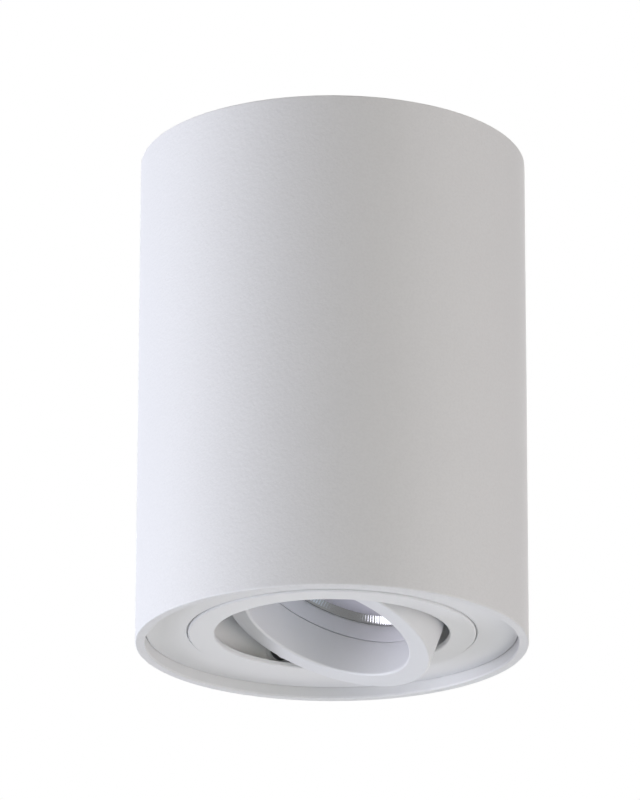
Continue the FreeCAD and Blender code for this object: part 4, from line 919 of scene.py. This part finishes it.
class SPOTLIGHT_OT_swivel_ring(bpy.types.Operator):
    """Makes the swivel ring with its thin lip, skirt, groove, pivot eyes and stop lug"""

    bl_idname = "spotlight.swivel_ring"
    bl_label = "Swivel ring"

    def execute(self, context):
        sizes = context.scene.spotlight_sizes
        face = RING_LOW.z
        lip = face + sizes.ring_lip
        top = RING_HIGH.z
        outer = sizes.skirt_radius
        bore = outer - sizes.skirt_wall
        under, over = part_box("swivel_circlip")
        low = under.z - GAP
        high = over.z + GAP
        ring = lathe([
            (sizes.opening_radius, face, RING_ROUND), (sizes.ring_radius, face, RING_ROUND),
            (sizes.ring_radius, lip), (outer, lip), (outer, low), (outer - GROOVE, low),
            (outer - GROOVE, high), (outer, high), (outer, top, RING_ROUND / 2),
            (bore, top, RING_ROUND / 2), (bore, lip), (sizes.opening_radius, lip, RING_ROUND / 4),
        ])
        lug = box((-outer - LUG_REACH, -LUG_WIDTH / 2, high + GAP),
                  (-outer + sizes.skirt_wall / 2, LUG_WIDTH / 2, top - sizes.skirt_wall / 4))
        added = [lug]
        cut = []
        inner = bore - EYE_DEPTH
        for side in (-1, 1):
            eye = crossbar(EYE_RADIUS, side * inner, side * (outer - EYE_INSET))
            added.append(moved(eye, SWIVEL_FRAME))
            for radius, start in ((EYE_BORE, inner - MM), (HEAD_SINK_RADIUS, outer - HEAD_SINK)):
                drill = crossbar(radius, side * start, side * (outer + MM))
                cut.append(moved(drill, SWIVEL_FRAME))
        ring = combined(combined(ring, added, "UNION"), cut, "DIFFERENCE")
        piece("swivel_ring_face", ring, "swivel_ring", "swivel")
        smoothed("swivel", swivel_glide_washer="glide_washer", swivel_circlip="circlip")
        return {"FINISHED"}


RING_ROUND = 0.4 * MM
GROOVE = 0.5 * MM
LUG_REACH = 3.3 * MM
LUG_WIDTH = 3.0 * MM
EYE_RADIUS = 2.7 * MM
EYE_DEPTH = 2.1 * MM
EYE_INSET = 0.4 * MM  # from the skirt's outside to the eye's end
EYE_BORE = 2.06 * MM
HEAD_SINK_RADIUS = 2.72 * MM
HEAD_SINK = 1.45 * MM


class SPOTLIGHT_OT_lamp_cup(bpy.types.Operator):
    """Makes the lamp cup with its flat lip and flared wall, and the soft ring in it"""

    bl_idname = "spotlight.lamp_cup"
    bl_label = "Lamp cup"

    def execute(self, context):
        sizes = context.scene.spotlight_sizes
        outer = sizes.cup_radius
        bore = outer - sizes.cup_wall
        face = -sizes.cup_drop
        top = sizes.cup_length - sizes.cup_drop
        lip = sizes.cup_lip - sizes.cup_drop
        deep = sizes.baffle_depth - sizes.cup_drop
        baffle = sizes.baffle_end + sizes.cup_wall
        cup = lathe([
            (sizes.cup_mouth, face, MOUTH_ROUND), (outer, face, CUP_ROUND),
            (outer, top, PLATE_ROUND), (bore, top), (bore, GROOVE_HIGH),
            (bore + WIRE_GROOVE, GROOVE_HIGH),
            (bore + WIRE_GROOVE, GROOVE_LOW), (bore, GROOVE_LOW), (bore, lip, MOUTH_ROUND),
            (sizes.cup_mouth + sizes.cup_wall, lip, BAFFLE_ROUND), (baffle, deep),
            (sizes.baffle_end, deep),
        ])
        bosses = [crossbar(BOSS_RADIUS, side * (bore + BOSS_START), side * (outer + BOSS_PROUD))
                  for side in (-1, 1)]
        threads = [crossbar(THREAD_RADIUS, side * (bore - MM), side * (outer + 2 * MM))
                   for side in (-1, 1)]
        cup = combined(combined(cup, bosses, "UNION"), threads, "DIFFERENCE")
        piece("lamp_cup_shell", cup, "lamp_cup", "lamp_cup", CUP_FRAME)
        low = deep + SEAM
        high = deep + GAP + sizes.seat_height
        inner = sizes.baffle_end
        seat = lathe([
            (inner, low, SEAM / 4), (bore - GAP, low), (bore - GAP, high),
            (inner - SEAT_REACH, high, SEAM / 2),
        ])
        piece("lamp_seat", seat, "lamp_seat_ring", "lamp_cup", CUP_FRAME)
        smoothed("lamp_cup", lamp_retaining_spring="retaining_spring")
        return {"FINISHED"}


MOUTH_ROUND = 0.6 * MM
CUP_ROUND = 0.5 * MM
BAFFLE_ROUND = 0.4 * MM
WIRE_GROOVE = 0.35 * MM
GROOVE_LOW = 14.1 * MM
GROOVE_HIGH = 15.2 * MM
BOSS_RADIUS = 3.2 * MM
BOSS_START = 0.3 * MM  # from the cup's bore to the boss's inner end
BOSS_PROUD = 0.8 * MM
THREAD_RADIUS = 1.55 * MM
SEAM = 0.25 * MM  # dark line between the flared wall and the soft ring
SEAT_REACH = 0.45 * MM


class SPOTLIGHT_OT_lamp(bpy.types.Operator):
    """Makes the lamp: its ribbed lens, finned body, base and pins"""

    bl_idname = "spotlight.lamp"
    bl_label = "Lamp"

    def execute(self, context):
        sizes = context.scene.spotlight_sizes
        self.lens(sizes)
        smoothed("lamp_cup", lamp_body="lamp_shell", lamp_base="lamp_foot",
                 lamp_pins="lamp_contacts")
        return {"FINISHED"}

    def lens(self, sizes):
        """One wedge of the lens, repeated about the cup's axis and merged."""
        half = math.pi / sizes.lens_wedges
        steps = RIB_STEPS * WEDGE_RIBS
        edge = sizes.lens_radius
        back = LENS_FRONT + LENS_THICKNESS
        outline = [(radius * MM, LENS_FRONT + height * MM, share)
                   for radius, height, share in LENS_RINGS]
        outline += [(edge, LENS_FRONT - LENS_RIM, 0.0), (edge, back, 0.0), (0.0, back, 0.0)]
        wedge = bmesh.new()
        rows = []
        for radius, height, share in outline:
            row = []
            for step in range(steps + 1):
                way = step / steps
                dip = share * RIB_DEPTH * (1 - math.cos(WEDGE_RIBS * math.tau * way)) / 2
                row.append(wedge.verts.new(polar(radius, height + dip, half * (2 * way - 1))))
            rows.append(row)
        for before, row in zip(rows, rows[1:]):
            for step in range(steps):
                wedge.faces.new((before[step], before[step + 1], row[step + 1], row[step]))
        bmesh.ops.remove_doubles(wedge, verts=wedge.verts, dist=MERGE)
        whole = made_by("copies_around", loose("wedge", wedge), "lens", Copies=sizes.lens_wedges)
        piece("lamp_front", closed(whole), "lamp_lens", "lamp_cup", CUP_FRAME)


LENS_FRONT = 12.0 * MM
LENS_THICKNESS = 1.3 * MM
LENS_RIM = 0.8 * MM  # from the rim's front down to the lens's front
RIB_DEPTH = 0.05 * MM
RIB_STEPS = 6
WEDGE_RIBS = 5
LENS_MIDDLE = 19.4  # millimetres from its axis to its ribbed bevel
# Radius and height over the front, in millimetres, and share of the ribs' depth.
LENS_RINGS = (
    (0.0, -0.1, 0.0), (8.0, 0.0, 0.0), (14.0, 0.2, 0.0), (LENS_MIDDLE - 0.3, 0.45, 0.0),
    (LENS_MIDDLE, 0.5, 0.3), (LENS_MIDDLE + 0.4, 0.08, 1.0), (LENS_MIDDLE + 1.0, -0.56, 1.0),
    (LENS_MIDDLE + 1.4, -0.98, 0.6), (21.0, -1.08, 0.0), (21.3, -1.05, 0.0),
)


class SPOTLIGHT_OT_lampholder(bpy.types.Operator):
    """Makes the ceramic lampholder with its cover and screw"""

    bl_idname = "spotlight.lampholder"
    bl_label = "Lampholder"

    def execute(self, context):
        smoothed("lamp_cup", lampholder_body="holder_block", lampholder_cover="holder_cover",
                 lampholder_screw="holder_screw")
        return {"FINISHED"}


class SPOTLIGHT_OT_pivots(bpy.types.Operator):
    """Makes the shoulder screws, bushes and dished washers of the tilt axis"""

    bl_idname = "spotlight.pivots"
    bl_label = "Pivots"

    def execute(self, context):
        smoothed("lamp_cup", pivot_screws="pivot_pins", pivot_bushes="pivot_spacers",
                 pivot_spring_washers="pivot_washers")
        return {"FINISHED"}


class SPOTLIGHT_OT_leads(bpy.types.Operator):
    """Makes the leads between the terminal block, the tie and the lampholder"""

    bl_idname = "spotlight.leads"
    bl_label = "Leads"

    def execute(self, context):
        upper = []
        lower = []
        for side, pole in ((-1, POLE_PITCH), (1, 0.0)):
            upper.append([
                *(Vector((across, pole * share + out * side, up)) * MM
                  for across, share, out, up in BLOCK_ROUTE),
                tie_point(side, -8.0),
                tie_point(side, -TIE_SPLIT),
            ])
            lower.append([
                tie_point(side, TIE_SPLIT),
                tie_point(side, 9.0),
                tie_point(side * HOLDER_SPREAD, 18.0, 0.6),
                *(CUP_FRAME @ Vector((side * HOLDER_ENTRY * MM, out * MM, up * MM))
                  for out, up in HOLDER_ROUTE),
            ])
        above = piece("upper_leads", tubes_on(upper, "lead_silicone"), "leads_upper")
        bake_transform(above)
        below = piece("lower_leads", tubes_on(lower, "lead_silicone"), "leads_lower")
        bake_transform(below)
        earth = [Vector(point) * MM for point in EARTH_ROUTE]
        piece("earth_wire", tubes_on([earth], "earth_insulation"), "earth_lead", "housing")
        return {"FINISHED"}


# The leads' routes, in millimetres.
LEAD_PAIR = 2.2  # between the leads at the tie
TIE_DROP = 26.0  # from the ceiling down to the tie
TIE_SPLIT = 0.05  # from the middle of the tie to where each pair of leads starts
POLE_PITCH = -10.0  # from one pole of the terminal block to the other
HOLDER_ENTRY = 7.0  # from the lampholder's middle to each of its leads
HOLDER_SPREAD = 2.4  # how many times further apart the leads are on their way there
# X, share of the pole's Y, way outwards and Z, from the terminal block towards the tie.
BLOCK_ROUTE = ((-15.0, 1.0, 0.0, -7.5), (-26.5, 1.0, 0.0, -7.5), (-30.0, 1.0, -1.5, -16.5),
               (-22.5, 0.6, 0.0, -27.0))
# Y and Z in the cup's frame, into the lampholder.
HOLDER_ROUTE = ((1.0, 88.25), (0.0, 81.25), (0.0, 72.65))
# X, Y and Z, from the earth lug to the terminal block.
EARTH_ROUTE = ((21.0, 5.8, -4.1), (21.0, 14.8, -4.1), (12.0, 17.3, -7.1), (6.0, 14.0, -8.0),
               (0.5, 10.0, -7.5), (-11.0, 10.0, -7.5))


def tie_point(side, along, rise=0.0):
    """Point of a lead near the tie, from distances in millimetres along and across its run."""
    ahead = SWIVEL_FRAME.to_3x3() @ Vector((0.0, -along, 0.0))
    across = SWIVEL_FRAME.to_3x3() @ Vector((side * LEAD_PAIR / 2, 0.0, 0.0))
    return (ahead + across + Vector((0.0, 0.0, rise - TIE_DROP))) * MM


class SPOTLIGHT_OT_fittings(bpy.types.Operator):
    """Makes the bracket, clips and terminals, and finishes the nodes left as packed"""

    bl_idname = "spotlight.fittings"
    bl_label = "Fittings"

    def execute(self, context):
        smoothed("housing", cable_grommet="grommet", trim_spring_clips="spring_clips",
                 trim_clip_rivets="clip_rivets", ceiling_bracket="bracket",
                 side_set_screws="set_screws", terminal_clamps="clamp_tubes",
                 terminal_screws="clamp_screws")
        for name, node in frame["nodes"].items():
            finish = finish_for(SLOTS[name])
            if not node.material_slots:
                node.data.materials.append(finish)
            for holder in node.material_slots:
                holder.material = finish
        return {"FINISHED"}


class SPOTLIGHT_PT_panel(bpy.types.Panel):
    """Lists the spotlight's pieces, sizes and colours"""

    bl_idname = "SPOTLIGHT_PT_panel"
    bl_label = "Ceiling Spotlight"
    bl_space_type = "VIEW_3D"
    bl_region_type = "UI"
    bl_category = "Spotlight"

    def draw(self, context):
        for operator in OPERATORS:
            self.layout.operator(operator.bl_idname)
        for group in (context.scene.spotlight_sizes, context.scene.spotlight_colours):
            column = self.layout.column(align=True)
            for name in group.__annotations__:
                column.prop(group, name)


OPERATORS = (
    SPOTLIGHT_OT_stage,
    SPOTLIGHT_OT_leads,
    SPOTLIGHT_OT_housing,
    SPOTLIGHT_OT_trim_plate,
    SPOTLIGHT_OT_swivel_ring,
    SPOTLIGHT_OT_lamp_cup,
    SPOTLIGHT_OT_lamp,
    SPOTLIGHT_OT_lampholder,
    SPOTLIGHT_OT_pivots,
    SPOTLIGHT_OT_fittings,
)
CLASSES = (SpotlightSizes, SpotlightColours, *OPERATORS, SPOTLIGHT_PT_panel)


def register():
    """Registers the classes and their settings on the scene."""
    for each in CLASSES:
        bpy.utils.register_class(each)
    bpy.types.Scene.spotlight_sizes = PointerProperty(type=SpotlightSizes)
    bpy.types.Scene.spotlight_colours = PointerProperty(type=SpotlightColours)


def unregister():
    """Removes the settings and the classes."""
    del bpy.types.Scene.spotlight_colours
    del bpy.types.Scene.spotlight_sizes
    for each in reversed(CLASSES):
        bpy.utils.unregister_class(each)


def main():
    """Builds the whole light."""
    register()
    for operator in OPERATORS:
        getattr(bpy.ops.spotlight, operator.bl_idname.split(".")[1])()


if __name__ == "__main__":
    main()
